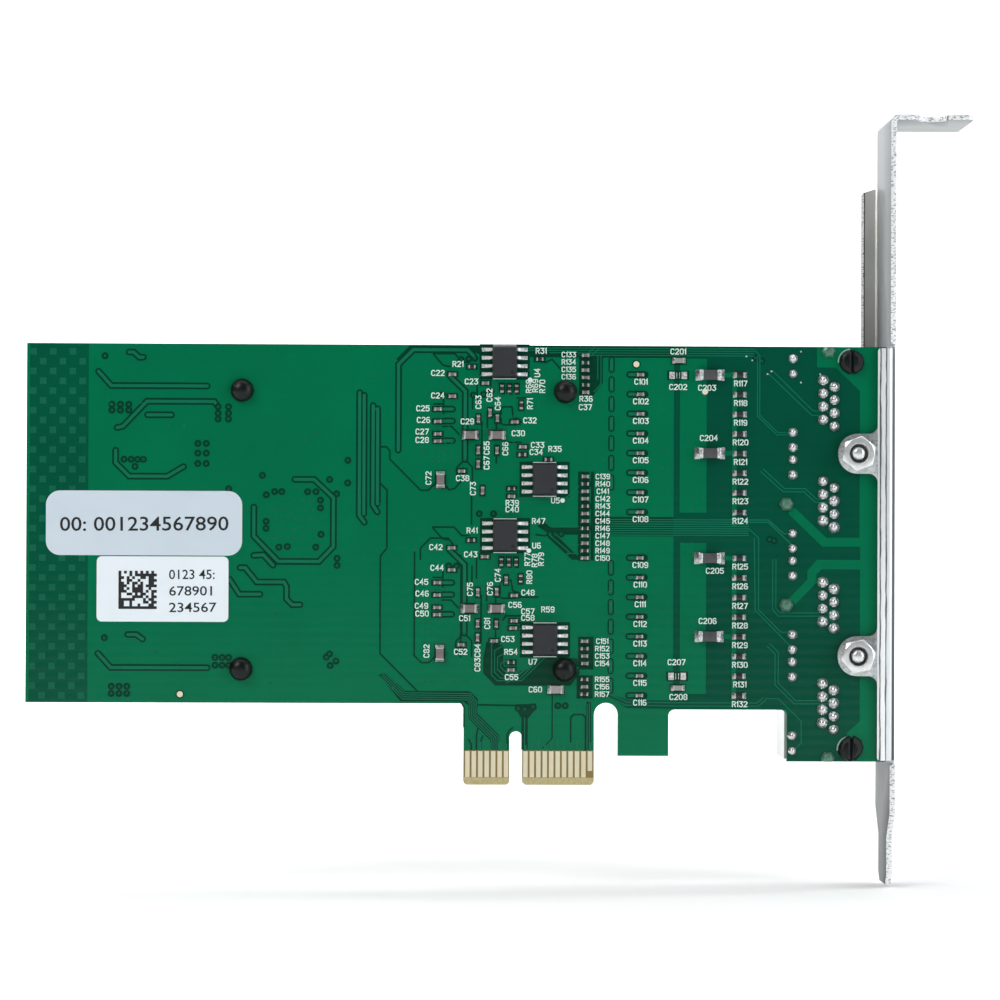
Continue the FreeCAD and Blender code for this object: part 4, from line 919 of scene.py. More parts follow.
# Lines from the board's lower edge down the tongue, drawn after all others
TONGUE_TRACKS = [
    [(1.35, 10.4), (1.35, 5.5)],
    [(10.1, 13.5), (11.05, 12.4), (11.05, 5.5)],
    [(11.4, 12.7), (11.4, 5.5)],
    [(5.8, 14.0), (5.8, 7.2), (4.5, 5.8)],
]
TONGUE_LANE = [(-20.7, 17.0), (-17.4, 13.75), (-7.3, 13.65), (-6.65, 12.8), (-6.7, 10.7), (-3.25, 7.3),
               (-3.2, 5.5)]
# Upright islands with round ends, seven beside each transformer
ISLAND_PITCH = 3.048
TAP_ISLANDS = [top - ISLAND_PITCH * row for top in (66.3, 34.8) for row in range(7)]
ISLAND_X = 14.65
ISLAND_LENGTH = 2.2
FINE = 0.15                 # width of a signal line
WIDE = 0.48
WIDE_GAP = 0.29             # clearance on either side of a wide track
NARROW_GAP = 0.26           # whole width of a bare gap


def beside(points, offset):
    """The same run of bends, set off to its right by offset."""
    spots = [Vector(point) for point in points]
    runs = [(b - a).normalized() for a, b in zip(spots, spots[1:])]
    moved = []
    for index, spot in enumerate(spots):
        back = runs[max(index - 1, 0)]
        ahead = runs[min(index, len(runs) - 1)]
        side = Vector((back.y + ahead.y, -back.x - ahead.x)).normalized()
        moved.append(spot + side * offset / max(side.dot(Vector((ahead.y, -ahead.x))), 0.5))
    return moved


def draw_tracks():
    """Clearance strips first, then the raised tracks that run in them."""
    strips = Layer(FRONT, 0.0, CLEARANCE_TOP + 0.004)
    tracks = Layer(FRONT, 0.0, COPPER_TOP)
    wide = list(WIDE_TRACKS)
    gaps = list(GAPS)
    thin = list(SIGNAL_TRACKS)
    for drop in (0.0, PAIR_STEP):
        for runs, copies in ((wide, PAIR_TRACKS), (gaps, PAIR_GAPS), (thin, PAIR_LINES)):
            runs += [[(x, z - drop) for x, z in run] for run in copies]
    for run in wide:
        strips.path(run, WIDE + 2 * WIDE_GAP)
        tracks.path(run, WIDE)
    for run in gaps:
        strips.path(run, NARROW_GAP)
    for run in thin:
        tracks.path(run, FINE)
    # the bus across the middle, its two longest lines running on into the line circuits
    for index in range(8):
        z = 41.2 - index * 0.345
        tracks.path([(12.2, z), (39.1 if index < 2 else 36.0, z)], 0.17)
    tracks.path([(39.1, 41.2), (41.5, 39.1), (42.3, 39.1)], 0.2)
    tracks.path([(39.1, 40.85), (42.6, 37.5)], 0.2)
    # four lines along the top edge, each starting further in
    for index in range(4):
        z = 67.75 - index * 0.36
        tracks.path([(-4.0 + index * 4.5, z), (36.8, z)], FINE)
    for offset in (-0.48, -0.16, 0.16, 0.48):
        tracks.path(beside(TONGUE_LANE, offset), FINE)
    for run in TONGUE_TRACKS:
        tracks.path(run, FINE)
    # four lines from the lowest memory's leads, round its corner and up to its end
    for index in range(4):
        start = 20.5 + 1.27 * index
        side = -2.4 - 0.47 * index
        low = 17.4 - 0.42 * index
        end = 2.9 + 0.6 * index
        tracks.path([(0.7, start), (side, start - (0.7 - side) * 0.55), (side, low + 0.9), (side + 0.9, low),
                     (end + low - 20.0, low), (end, 20.0)], FINE)
    for top in TAP_ISLANDS:
        ends = [(ISLAND_X, top - 0.3), (ISLAND_X, top - ISLAND_LENGTH + 0.3)]
        strips.path(ends, 0.98)
        tracks.path(ends, 0.52)
    clear_round_chips(strips, tracks)
    strips.place("clearance_strips", resist_on_laminate)
    tracks.place("raised_tracks", resist_trace)


def clear_round_chips(strips, tracks):
    """Opens the copper round each loose chip and each row of empty pads."""
    for x, y, z, turn, size in tap_caps:
        strips.path([(x - 1.65, z), (x + 0.75, z)], 1.08)
        tracks.path([(x - 1.65, z), (x - 0.9, z)], 0.5)
    for x, y, z, turn, size in small_caps + small_resistors + bypass_caps:
        reach = size[0] / 2 + 0.42
        half = size[2] / 2 + 0.22
        along, across = (half, reach) if turn else (reach, half)
        strips.rectangle(x - along, z - across, x + along, z + across)
    for x, z in EMPTY_PADS:
        strips.rectangle(x - 1.7, z - 0.75, x + 1.7, z + 0.75)


VIA_PLACES = [(-62.7, 58.7), (-61.4, 58.7), (-60.1, 58.7), (-62.7, 57.8), (-61.4, 57.8), (-60.1, 57.8),
              (-46.3, 58.4), (-44.7, 58.4), (-46.3, 57.4), (-44.7, 57.4), (-46.3, 56.5), (-44.7, 56.5),
              (-49.4, 52.7), (-48.1, 52.7), (-49.4, 51.2), (-48.1, 51.2), (-49.4, 49.6), (-48.1, 49.6),
              (-60.8, 50.2), (-59.7, 50.2), (-58.7, 50.2), (-57.8, 50.2), (-59.1, 49.1),
              (-46.6, 19.6), (-45.5, 19.6), (-44.5, 19.6), (-46.6, 18.4), (-45.5, 18.4), (-44.5, 18.4),
              (-62.6, 15.1), (-61.4, 15.1), (-60.2, 15.1), (-62.6, 14.0), (-61.4, 14.0), (-60.2, 14.0),
              (-63.8, 66.2), (-63.7, 22.6), (-44.6, 45.7), (-39.4, 47.8), (-38.8, 44.8), (-37.5, 45.3),
              (-36.4, 45.3), (-32.4, 45.3), (-31.1, 45.3), (-30.4, 44.0), (-30.4, 42.8), (-29.0, 47.2),
              (-27.9, 45.0), (-26.2, 50.2), (-26.2, 46.7), (-38.8, 40.7), (-38.8, 39.6), (-30.3, 38.7),
              (-36.8, 36.7), (-35.5, 36.8), (-31.1, 36.7), (-27.8, 35.0), (-27.8, 33.9), (-28.9, 20.2),
              (-29.4, 19.7), (-27.9, 19.1), (-28.8, 18.4), (6.5, 12.3), (7.65, 12.3), (0.35, 11.85),
              (1.35, 11.75), (2.65, 12.1), (39.3, 38.2), (40.0, 38.0), (37.0, 66.4), (38.0, 65.9),
              (5.2, 38.9), (6.0, 38.9), (6.9, 38.9), (-5.8, 42.0), (-3.6, 42.0), (-8.3, 48.6),
              (-10.5, 33.9), (-9.3, 33.9), (-5.2, 60.5), (-4.0, 61.0), (-6.8, 60.4), (-11.6, 60.4),
              (-8.7, 65.9), (-7.5, 66.0), (-6.6, 66.1)]
BACK_VIAS = 60              # how many of them, from the first, also show on the component side


# Fields of small holes: left and low corner, columns, rows, pitch
STITCHING = [(-37.6, 38.0, 5, 5, 1.5), (-14.2, 50.0, 6, 4, 1.02), (-14.2, 55.3, 6, 2, 1.8),
             (-14.2, 22.0, 6, 4, 1.02), (-14.4, 28.3, 6, 2, 1.8), (-15.2, 15.9, 8, 1, 1.1),
             (25.7, 43.0, 3, 3, 1.6), (25.7, 34.5, 3, 3, 1.5), (22.6, 15.4, 1, 8, 3.0),
             (22.6, 43.2, 1, 8, 3.0), (-4.3, 49.5, 3, 5, 1.9), (-4.3, 23.6, 3, 5, 1.9)]


def stitching_places():
    """Small tented holes in regular fields, with a few left out at random."""
    chance = random.Random(4)
    places = []
    for left, low, columns, rows, pitch in STITCHING:
        for column in range(columns):
            for row in range(rows):
                if chance.random() > 0.12:
                    places.append((left + column * pitch, low + row * pitch))
    for index in range(70):
        x = chance.uniform(-64, 22)
        z = chance.uniform(14.5, 65.0)
        under_labels = -74 < x < -41 and 23 < z < 47
        if not under_labels:
            places.append((x, z))
    return places


def draw_vias():
    """Plated holes under resist: a low rim with a dimple in its middle."""
    rim = to_mesh("rim", lathe([(0.10, -0.004), (0.15, -VIA_TOP), (0.23, -VIA_TOP),
                                (0.31, -COPPER_TOP * 0.8), (0.32, 0.0)], 14), 60)
    dimple = to_mesh("dimple", lathe([(0.12, 0.0), (0.12, -COPPER_TOP - 0.006)], 10), 60)
    ring = to_mesh("ring", lathe([(0.0, 0.0), (0.55, 0.0), (0.55, -COPPER_TOP - 0.001),
                                  (0.0, -COPPER_TOP - 0.001)], 18), 30)
    face = -HALF_BOARD
    # neighbouring rings overlap, so their heights differ a little
    rings = [(x, face, z, 0, (1, 1 + 0.01 * (index % 7), 1)) for index, (x, z) in enumerate(VIA_PLACES)]
    repeat("via_clearances", rings, ring, resist_on_laminate)
    holes = [(x, face, z, 0, 0.8) for x, z in VIA_PLACES]
    holes += [(x, face, z, 0, (0.62, 1.0, 0.62)) for x, z in stitching_places()]
    holes += [(ISLAND_X, face, top - offset, 0, (0.7, 1.3, 0.7)) for top in TAP_ISLANDS
              for offset in (0.3, ISLAND_LENGTH - 0.3)]
    holes += [(x - 1.6, face, z, 0, (0.7, 1.3, 0.7)) for x, y, z, turn, size in tap_caps]
    holes += [(run[-1][0], face, run[-1][1] - drop, 0, (0.7, 1.4, 0.7)) for run in PAIR_TRACKS
              for drop in (0.0, PAIR_STEP)]
    repeat("via_rims", holes, rim, resist_trace)
    repeat("via_dimples", holes, dimple, resist_on_laminate)


# ---------------------------------------------------------------- silkscreen

# Plotted strokes on a grid four wide and six high
STROKES = {
    "0": [[(1, 0), (3, 0), (4, 1), (4, 5), (3, 6), (1, 6), (0, 5), (0, 1), (1, 0)]],
    "1": [[(0, 5), (1, 6), (1, 0)]],
    "2": [[(0, 5), (1, 6), (3, 6), (4, 5), (4, 4), (0, 0), (4, 0)]],
    "3": [[(0, 6), (4, 6), (2, 3.7), (3, 3.6), (4, 2.6), (4, 1), (3, 0), (1, 0), (0, 1)]],
    "4": [[(3, 0), (3, 6), (0, 2), (4, 2)]],
    "5": [[(4, 6), (0.3, 6), (0, 3.4), (1, 3.8), (3, 3.8), (4, 2.8), (4, 1), (3, 0), (1, 0), (0, 1)]],
    "6": [[(3.6, 5.5), (3, 6), (1, 6), (0, 5), (0, 1), (1, 0), (3, 0), (4, 1), (4, 2.4), (3, 3.4), (0, 3.2)]],
    "7": [[(0, 6), (4, 6), (1.4, 0)]],
    "8": [[(1, 3.2), (0, 4.2), (0, 5), (1, 6), (3, 6), (4, 5), (4, 4.2), (3, 3.2), (1, 3.2), (0, 2.2), (0, 1),
           (1, 0), (3, 0), (4, 1), (4, 2.2), (3, 3.2)]],
    "9": [[(0.4, 0.5), (1, 0), (3, 0), (4, 1), (4, 5), (3, 6), (1, 6), (0, 5), (0, 3.6), (1, 2.6), (4, 2.8)]],
    "C": [[(4, 1), (3, 0), (1, 0), (0, 1), (0, 5), (1, 6), (3, 6), (4, 5)]],
    "R": [[(0, 0), (0, 6), (3, 6), (4, 5), (4, 4), (3, 3), (0, 3)], [(2, 3), (4, 0)]],
    "U": [[(0, 6), (0, 1), (1, 0), (3, 0), (4, 1), (4, 6)]],
    "L": [[(0, 6), (0, 0), (4, 0)]],
    "Y": [[(0, 6), (2, 3), (4, 6)], [(2, 3), (2, 0)]],
}
STROKE = 0.15               # width of a printed line
GRID_X = 0.12
GRID_Z = 0.13
LETTER_GAP = 0.24


def letter(layer, text, x, z, upright=False, mirror=1, scale=1.0):
    """Writes a part's reference centred on (x, z), reading along X or up the board."""
    widths = [1 if sign == "1" else 4 for sign in text]
    start = -(sum(widths) * GRID_X + (len(text) - 1) * LETTER_GAP) / 2
    for width, sign in zip(widths, text):
        for run in STROKES[sign]:
            points = []
            for u, v in run:
                along = (start + u * GRID_X) * mirror * scale
                rise = (v - 3) * GRID_Z * scale
                points.append((x - rise, z + along) if upright else (x + along, z + rise))
            layer.path(points, STROKE * scale)
        start += width * GRID_X + LETTER_GAP


# Reference marks beside the loose chips: letter, x, z. The numbers run in reading order.
LEVEL_MARKS = """
    R -9.2 65.2, C -12.3 63.8, C -7.1 62.5, C -12.3 60.3, C -14.6 58.3, C -14.5 56.5, C -14.7 54.7,
    C -14.7 53.4, C -7.7 56.3, C 0.2 54.5, R 3.7 67.3, C 2.0 56.5, C 3.2 52.7, C 3.0 51.6, R 5.9 52.1,
    R 10.7 59.9, C 10.6 58.6, C -8.4 47.5, R -0.7 43.7, C -0.7 42.7, R -6.9 39.4, C -12.5 36.8,
    C -7.1 35.7, C -12.3 33.6, C -14.7 31.4, C -14.6 29.6, R 3.4 40.9, C 1.8 29.8, C -14.7 27.7,
    C -14.6 26.5, C -8.0 25.8, C -8.6 20.6, C -1.3 22.6, R -0.8 20.6, C -0.7 16.7, C -0.2 27.9,
    C 1.8 26.9, C 1.8 25.9, R 4.9 27.2, C 3.0 14.8"""
UPRIGHT_MARKS = """
    C -4.3 60.4, C -6.0 59.3, C -3.0 59.1, C -4.7 52.2, C -1.8 52.1, C -4.7 49.9, R 1.8 61.8,
    R 2.8 61.9, R 3.9 61.8, R 2.0 59.1, C -13.7 47.5, C -6.8 45.9, C -2.9 32.5, C -7.2 30.3,
    C -4.1 30.4, R 1.7 35.0, R 2.8 34.8, R 3.8 35.0, R 2.0 32.2, C -4.5 25.0, C -13.9 20.7,
    C -6.0 18.6, C -6.0 20.8"""
THREE_DIGIT_MARKS = """
    C 25.0 67.3, C 25.0 61.8, C 29.5 61.7, C 29.8 53.9, C 30.8 33.3, C 29.7 25.5, C 24.9 19.1,
    C 25.2 13.7"""
CHIP_MARKS = "U 6.0 44.1, U 3.1 37.1, U 2.6 19.1"
COLUMN_X = 10.6             # chips in one column between the memories and the transformers


def marks(text, first):
    """(name, x, z) for each mark in a list, numbered on from first."""
    found = []
    for index, item in enumerate(text.split(",")):
        kind, x, z = item.split()
        found.append((kind + str(first + index), float(x), float(z)))
    return found


def top_down(places):
    """Places in reading order down the board."""
    return sorted(places, key=lambda place: -place[2])


def draw_silkscreen():
    """Printed references beside the chips, a bar at each end of a memory, and dots by their first legs."""
    white = Layer(FRONT, 0.0, INK_TOP)
    for name, x, z in marks(LEVEL_MARKS, 21) + marks(THREE_DIGIT_MARKS, 201) + marks(CHIP_MARKS, 5):
        letter(white, name, x, z)
    for name, x, z in marks(UPRIGHT_MARKS, 62):
        letter(white, name, x, z, True)
    letter(white, "U4", 3.1, 63.9, True)
    number = 101
    for x, y, z, turn, size in top_down(tap_caps):
        letter(white, "C" + str(number), x + 0.1, z - 1.1)
        number += 1
    for x, y, z, turn, size in top_down(line_resistors):
        letter(white, "R" + str(number), x + 0.15, z - 1.3)
        number += 1
    column = [place for place in small_caps + small_resistors if abs(place[0] - COLUMN_X) < 0.1]
    for place in top_down(column):
        kind = "C" if place in small_caps else "R"
        z = place[2]
        if z > 63:
            letter(white, kind + str(number), 8.0, z + 0.1, scale=0.92)
        elif z <= 60:
            letter(white, kind + str(number), 13.35, z, scale=0.92)
        number += 1
    for x, y, z in memories:
        for end in (-2.62, 2.62):
            white.path([(x - 1.75, z + end), (x + 1.75, z + end)], 0.13)
    for x, z in ((2.0, 62.8), (7.1, 44.1), (1.9, 36.3)):
        white.disc(x, z, 0.36)
    white.place("silkscreen", ink)


# ---------------------------------------------------------------- chips on the solder side

def place_chips():
    """Ceramic bodies with tinned ends on their solder, drawn at unit size and sized by each solid."""
    body = bevelled_boxes("body", [((-0.37, -1.0, -0.47), (0.37, -0.02, 0.47))], 0.04, 2)
    ends = bevelled_boxes("ends", [((-0.5, -1.02, -0.5), (-0.31, 0.0, 0.5)),
                                   ((0.31, -1.02, -0.5), (0.5, 0.0, 0.5))], 0.06, 2)
    wide_ends = bevelled_boxes("wide_ends", [((-0.5, -1.02, -0.5), (-0.36, 0.0, 0.5)),
                                             ((0.36, -1.02, -0.5), (0.5, 0.0, 0.5))], 0.05, 2)
    fillet = make_fillets()
    glaze = bevelled_boxes("glaze", [((-0.32, -1.0, -0.46), (0.32, -0.3, 0.46))], 0.03)
    pale = [place for place in bypass_caps if abs(place[0] - 25.1) < 0.5 or place[2] < 15.2]
    brown = small_caps + tap_caps + [place for place in bypass_caps if place not in pale]
    repeat("ceramic_chip_bodies", brown, body, brown_ceramic,
           replaces=("small_capacitors", "centre_tap_capacitors"))
    repeat("pale_chip_bodies", pale, body, pale_ceramic,
           replaces=("bypass_capacitors",))
    repeat("surge_chip_bodies", surge_caps, body, grey_ceramic,
           replaces=("surge_capacitors",))
    repeat("resistor_glaze", small_resistors + line_resistors, glaze, resistor_top,
           replaces=("small_resistors", "line_resistors"))
    small = small_caps + tap_caps + small_resistors + line_resistors
    repeat("surge_chip_ends", surge_caps, ends, levelled)
    repeat("chip_ends", small, ends, chip_tin)
    repeat("wide_chip_ends", bypass_caps, wide_ends, chip_tin)
    repeat("chip_fillets", small + bypass_caps + surge_caps, fillet, solder, spread=0.04, seed=7)


def make_fillets():
    """Solder climbing both ends of a chip of unit size."""
    shape = bmesh.new()
    for hand in (-1, 1):
        rows = []
        for reach, height in ((0.44, 0.0), (0.44, 0.72), (0.54, 0.5), (0.60, 0.22), (0.68, 0.05),
                              (0.69, 0.0)):
            rows.append([shape.verts.new((hand * reach * MM, -height * sag * MM, side * MM))
                         for side, sag in ((-0.56, 0.6), (-0.28, 1), (0, 1), (0.28, 1), (0.56, 0.6))])
        skin(shape, rows, closed=False)
        shape.faces.new([row[0] for row in rows])
        shape.faces.new([row[-1] for row in rows])
        shape.faces.new(rows[0] + rows[-1][::-1])
    face_out(shape)
    return to_mesh("fillets", shape, 50)


def place_memories():
    """Eight-lead packages: drafted body, gull-wing leads on solder pads."""
    shape = bmesh.new()
    for low, high in solids("memory_chips"):
        x, y, z = middle((low, high))
        outer = -low[1]
        inner = -high[1]
        waist = (outer + inner) / 2
        rows = []
        for half_x, half_z, y in ((1.80, 2.30, inner), (1.925, 2.425, waist - 0.12),
                                  (1.925, 2.425, waist + 0.12), (1.74, 2.24, outer - 0.06),
                                  (1.69, 2.19, outer)):
            rows.append([shape.verts.new(((x + i * half_x) * MM, -y * MM, (z + k * half_z) * MM))
                         for i, k in ((-1, -1), (1, -1), (1, 1), (-1, 1))])
        skin(shape, rows)
        shape.faces.new(rows[0])
        shape.faces.new(rows[-1])
    bmesh.ops.recalc_face_normals(shape, faces=shape.faces)
    land("memory_bodies", to_mesh("memory_bodies", shape), epoxy, ("memory_chips",))
    lead_places = []
    for low, high in solids("memory_leads"):
        x, y, z = middle((low, high))
        home = min(memories, key=lambda spot: abs(spot[0] - x) + abs(spot[2] - z))
        lead_places.append((home[0], -HALF_BOARD, z, 0 if x > home[0] else 180, 1.0))
    repeat("memory_leads_finished", lead_places, make_gull_wing(), tinned,
           replaces=("memory_leads",))
    pad = bevelled_boxes("pad", [((2.05, -0.1, -0.29), (3.55, 0.0, 0.29))], 0.04, 2)
    repeat("memory_pads", lead_places, pad, levelled)
    # painted shade: a dark disc in the dimple at each memory chip's first-pin corner
    spots = Layer(FRONT, 1.5, 1.556)
    for x, y, z in memories:
        spots.disc(x + 1.15, z - 1.65, 0.3, 16)
    spots.place("memory_corner_dimples", dark_gap, "moulded_epoxy")


def make_gull_wing():
    """One lead, out of a body at the origin along +X: flat, down, and flat on its pad."""
    path = [(1.85, 0.86), (2.12, 0.86), (2.22, 0.80), (2.42, 0.22), (2.52, 0.14), (3.0, 0.11)]
    thickness = 0.2
    half_width = 0.2
    shape = bmesh.new()
    rows = []
    for index, (x, height) in enumerate(path):
        before = path[max(index - 1, 0)]
        after = path[min(index + 1, len(path) - 1)]
        along = Vector((after[0] - before[0], after[1] - before[1])).normalized()
        side = Vector((-along.y, along.x)) * thickness / 2
        rows.append([shape.verts.new(((x + up * side.x) * MM, -(height + up * side.y) * MM,
                                      hand * half_width * MM))
                     for up, hand in ((1, -1), (1, 1), (-1, 1), (-1, -1))])
    skin(shape, rows)
    shape.faces.new(rows[0])
    shape.faces.new(rows[-1])
    face_out(shape)
    return to_mesh("gull_wing", shape, 30)


# ---------------------------------------------------------------- solder joints and fasteners

def place_joints():
    """Solder drawn up each pin in a hollow curve, the pin's tip standing out of it."""
    cone = [(1.0, 0.0), (0.95, -0.12), (0.84, -0.3), (0.7, -0.5), (0.55, -0.68), (0.42, -0.8), (0.28, -0.9),
            (0.14, -0.95), (0, -0.96)]
    template = to_mesh("solder_cone", lathe(cone, 18), 80)
    places = []
    for spots, turn, size in ((joints, 17, (0.88, 0.9, 0.88)), (lamp_joints, 23, (0.76, 0.75, 0.76))):
        places += [(x, -HALF_BOARD, z, turn * index, size) for index, (x, y, z) in enumerate(spots)]
    repeat("solder_cones", places, template, pin_solder, spread=0.06, swing=20, seed=3,
           replaces=("contact_joints", "lamp_joints"))
    softened("shield_joints", fluxed, 0.12)
    collar = to_mesh("collar", lathe([(0.0, -0.002), (1.0, -0.002), (1.0, -0.02), (0.0, -0.021)], 20), 60)
    collars = [(x, y, z, 0, (size[0] * 1.1, 1.0, size[2] * 1.1)) for x, y, z, turn, size in places]
    repeat("joint_clearances", collars, collar, resist_on_laminate)


FAR_FACE = 15.7             # Y beyond which a face belongs to the far flange
FLANGE_SPAN = (3.7, 68.2)   # Z from end to end of the near flange
SHADOW_LINE = (0.35, 0.52)         # painted shadow line on the far flange, from its free edge


def place_bracket():
    """The folded sheet with soft edges and a finish for each kind of face; brighter zinc copies, highlight
    bands and a shadow line are painted light and shade.
    """
    piece = softened("bracket", zinc, 0.07)
    coats = [zinc, sheared, flange_painted_light, tab_zinc, far_flange_zinc_painted_light, groove_shadow, outer_zinc_painted_light]
    for material in coats[1:]:
        piece.data.materials.append(material)
    free_edge = min(v.co.x for v in piece.data.vertices if v.co.y > FAR_FACE * MM) / MM
    shape = bmesh.new()
    shape.from_mesh(piece.data)
    for x, on_far in ((FLANGE_EDGE, False), (free_edge + SHADOW_LINE[0], True), (free_edge + SHADOW_LINE[1], True)):
        touched = set()
        for face in shape.faces:
            y = face.calc_center_median().y / MM
            if face.normal.y < -0.7 and (y > FAR_FACE if on_far else y < -1.0):
                touched.update([face, *face.verts, *face.edges])
        bmesh.ops.bisect_plane(shape, geom=list(touched), dist=0.0, plane_co=(x * MM, 0, 0),
                               plane_no=(1, 0, 0))
    for face in shape.faces:
        spot = face.calc_center_median() / MM
        far = spot.y > FAR_FACE
        # faces turned from the camera: the plate's outer face and the ear's top take the brighter
        # painted-light zinc, the far flange's back the paler one
        if face.normal.y > -0.25:
            on_plate = face.normal.x > 0.7 and not far
            on_ear = face.normal.z > 0.7 and spot.z > EAR_Z - 4
            coat = outer_zinc_painted_light if on_plate or on_ear else far_flange_zinc_painted_light if far and face.normal.y > 0.5 else zinc
        elif far:
            # the far flange's end: bright sheared edge, a painted shadow line, then the paler painted-light
            # zinc
            inward = spot.x - free_edge
            coat = sheared if inward < SHADOW_LINE[0] else groove_shadow if inward < SHADOW_LINE[1] else far_flange_zinc_painted_light
        elif FLANGE_SPAN[0] < spot.z < FLANGE_SPAN[1] and spot.y < 2:
            # the near flange between its edge and its fold takes the painted highlight bands
            coat = tab_zinc if spot.x < FLANGE_EDGE else flange_painted_light if spot.x < FLANGE_FOLD else zinc
        else:
            coat = sheared
        face.material_index = coats.index(coat)
    shape.to_mesh(piece.data)
    shape.free()


def make_nut(x, z, low, high, across, turn):
    """Hexagon nut with its corners turned down at the outer face, and a countersunk bore."""
    shape = bmesh.new()
    stations = []
    for index in range(72):
        angle = 2 * math.pi * index / 72
        local = (angle - math.radians(turn)) % (math.pi / 3) - math.pi / 6
        stations.append((angle, across / 2 / math.cos(local)))
    rows = []
    face = across / 2 * 0.965

    def row(radius_at, height_at):
        made = []
        for angle, reach in stations:
            radius = radius_at(reach)
            made.append(shape.verts.new(((x + radius * math.cos(angle)) * MM, height_at(reach) * MM,
                                         (z + radius * math.sin(angle)) * MM)))
        rows.append(made)

    row(lambda reach: 1.46, lambda reach: high)
    row(lambda reach: reach - 0.05, lambda reach: high)
    row(lambda reach: reach, lambda reach: high - 0.06)
    row(lambda reach: reach, lambda reach: low + 0.08 + (reach - face) * 0.62)
    row(lambda reach: face, lambda reach: low + 0.02)
    row(lambda reach: face - 0.08, lambda reach: low)
    row(lambda reach: 1.62, lambda reach: low)
    row(lambda reach: 1.46, lambda reach: low + 0.3)
    skin(shape, rows + rows[:1])
    face_out(shape)
    return shape


NUT_WIDTH = 4.8             # across flats
# Profiles in radius and distance from the stud's tip; the second lies in the shade of the first thread
STUD = [(0, 0), (0.45, 0.03), (0.78, 0.13), (0.94, 0.3), (1.0, 0.55), (1.06, 1.05), (1.42, 1.1),
        (1.28, 1.3), (1.42, 1.5), (1.28, 1.7), (1.42, 1.9), (1.28, 2.1), (1.42, 2.3)]
THREAD_SHADE = [(1.05, 1.04), (1.4, 0.76), (1.4, 1.0), (1.05, 1.08)]


def place_fasteners():
    """Nuts turned as a hand left them, on studs with a chamfered tip and a thread."""
    nuts = bmesh.new()
    for index, (low, high) in enumerate(solids("bracket_nuts")):
        x, y, z = middle((low, high))
        absorb(nuts, make_nut(x, z, low[1], high[1], NUT_WIDTH, 12.0 + 9.0 * index))
    land("bracket_nuts_finished", to_mesh("nuts", nuts, 35), nickel, ("bracket_nuts",))
    studs = bmesh.new()
    shades = bmesh.new()
    for low, high in solids("bracket_studs"):
        x, y, z = middle((low, high))
        profile = [(radius, low[1] + depth) for radius, depth in STUD] + [(1.42, high[1])]
        absorb(studs, lathe(profile, 36, x, z))
        absorb(shades, lathe([(radius, low[1] + depth) for radius, depth in THREAD_SHADE], 24, x, z))
    land("bracket_studs_finished", to_mesh("studs", studs, 40), nickel, ("bracket_studs",))
    land("thread_shadows", to_mesh("thread_shadows", shades, 40), thread_painted_shade)


# Push pin: radius and distance from the barb's tip, radius and Y, radius and distance from the head's top
PIN_BARB = [(0, 0), (0.5, 0.03), (1.0, 0.2), (1.4, 0.5), (1.68, 0.95), (1.8, 1.35), (1.8, 1.6)]
PIN_NECK = [(1.72, -HALF_BOARD), (1.45, -HALF_BOARD)]
PIN_HEAD = [(1.45, 1.1), (2.75, 1.1), (2.9, 0.95), (2.9, 0.3), (2.75, 0.08), (2.5, 0), (0.9, 0),
            (0.8, 0.25), (0, 0.25)]


def place_pins():
    """Push pins in one: head, shaft, and the barb that holds behind the board."""
    pins = bmesh.new()
    for low, high in solids("push_pins"):
        x, y, z = middle((low, high))
        barb = [(radius, low[1] + depth) for radius, depth in PIN_BARB]
        head = [(radius, high[1] - depth) for radius, depth in PIN_HEAD]
        absorb(pins, lathe(barb + PIN_NECK + head, 36, x, z))
    land("push_pins_finished", to_mesh("pins", pins, 40), nylon, ("push_pins",))


WIRE_RADIUS = 0.23
COIL_RADIUS = 2.08


def place_springs():
    """One coil grown from the tree, copied to each push pin."""
    low, high = solids("push_pin_springs")[0]
    length = high[1] - low[1] - 2 * WIRE_RADIUS
    start = bpy.data.meshes.new("start")
    coil = grown(coil_tree, start, {"Turns": 4.5, "Coil radius": COIL_RADIUS * MM, "Length": length * MM,
                                    "Wire radius": WIRE_RADIUS * MM, "Finish": wire})
    coil.transform(Matrix.Rotation(math.radians(-90), 4, "X"))
    springs = bmesh.new()
    for box in solids("push_pin_springs"):
        x, y, z = middle(box)
        copy = coil.copy()
        copy.transform(Matrix.Translation((x * MM, (box[0][1] + WIRE_RADIUS) * MM, z * MM)))
        springs.from_mesh(copy)
        bpy.data.meshes.remove(copy)
    land("push_pin_springs_finished", to_mesh("springs", springs, 60), wire,
         ("push_pin_springs",))


PEG_X = 51.88
PEG_SLOT = 0.31             # half the slot's width
# The lip in radius and height above the board
PEG_LIP = ((1.86, 0.0), (1.86, 0.18), (1.7, 0.6), (1.4, 0.86), (0.9, 0.95))


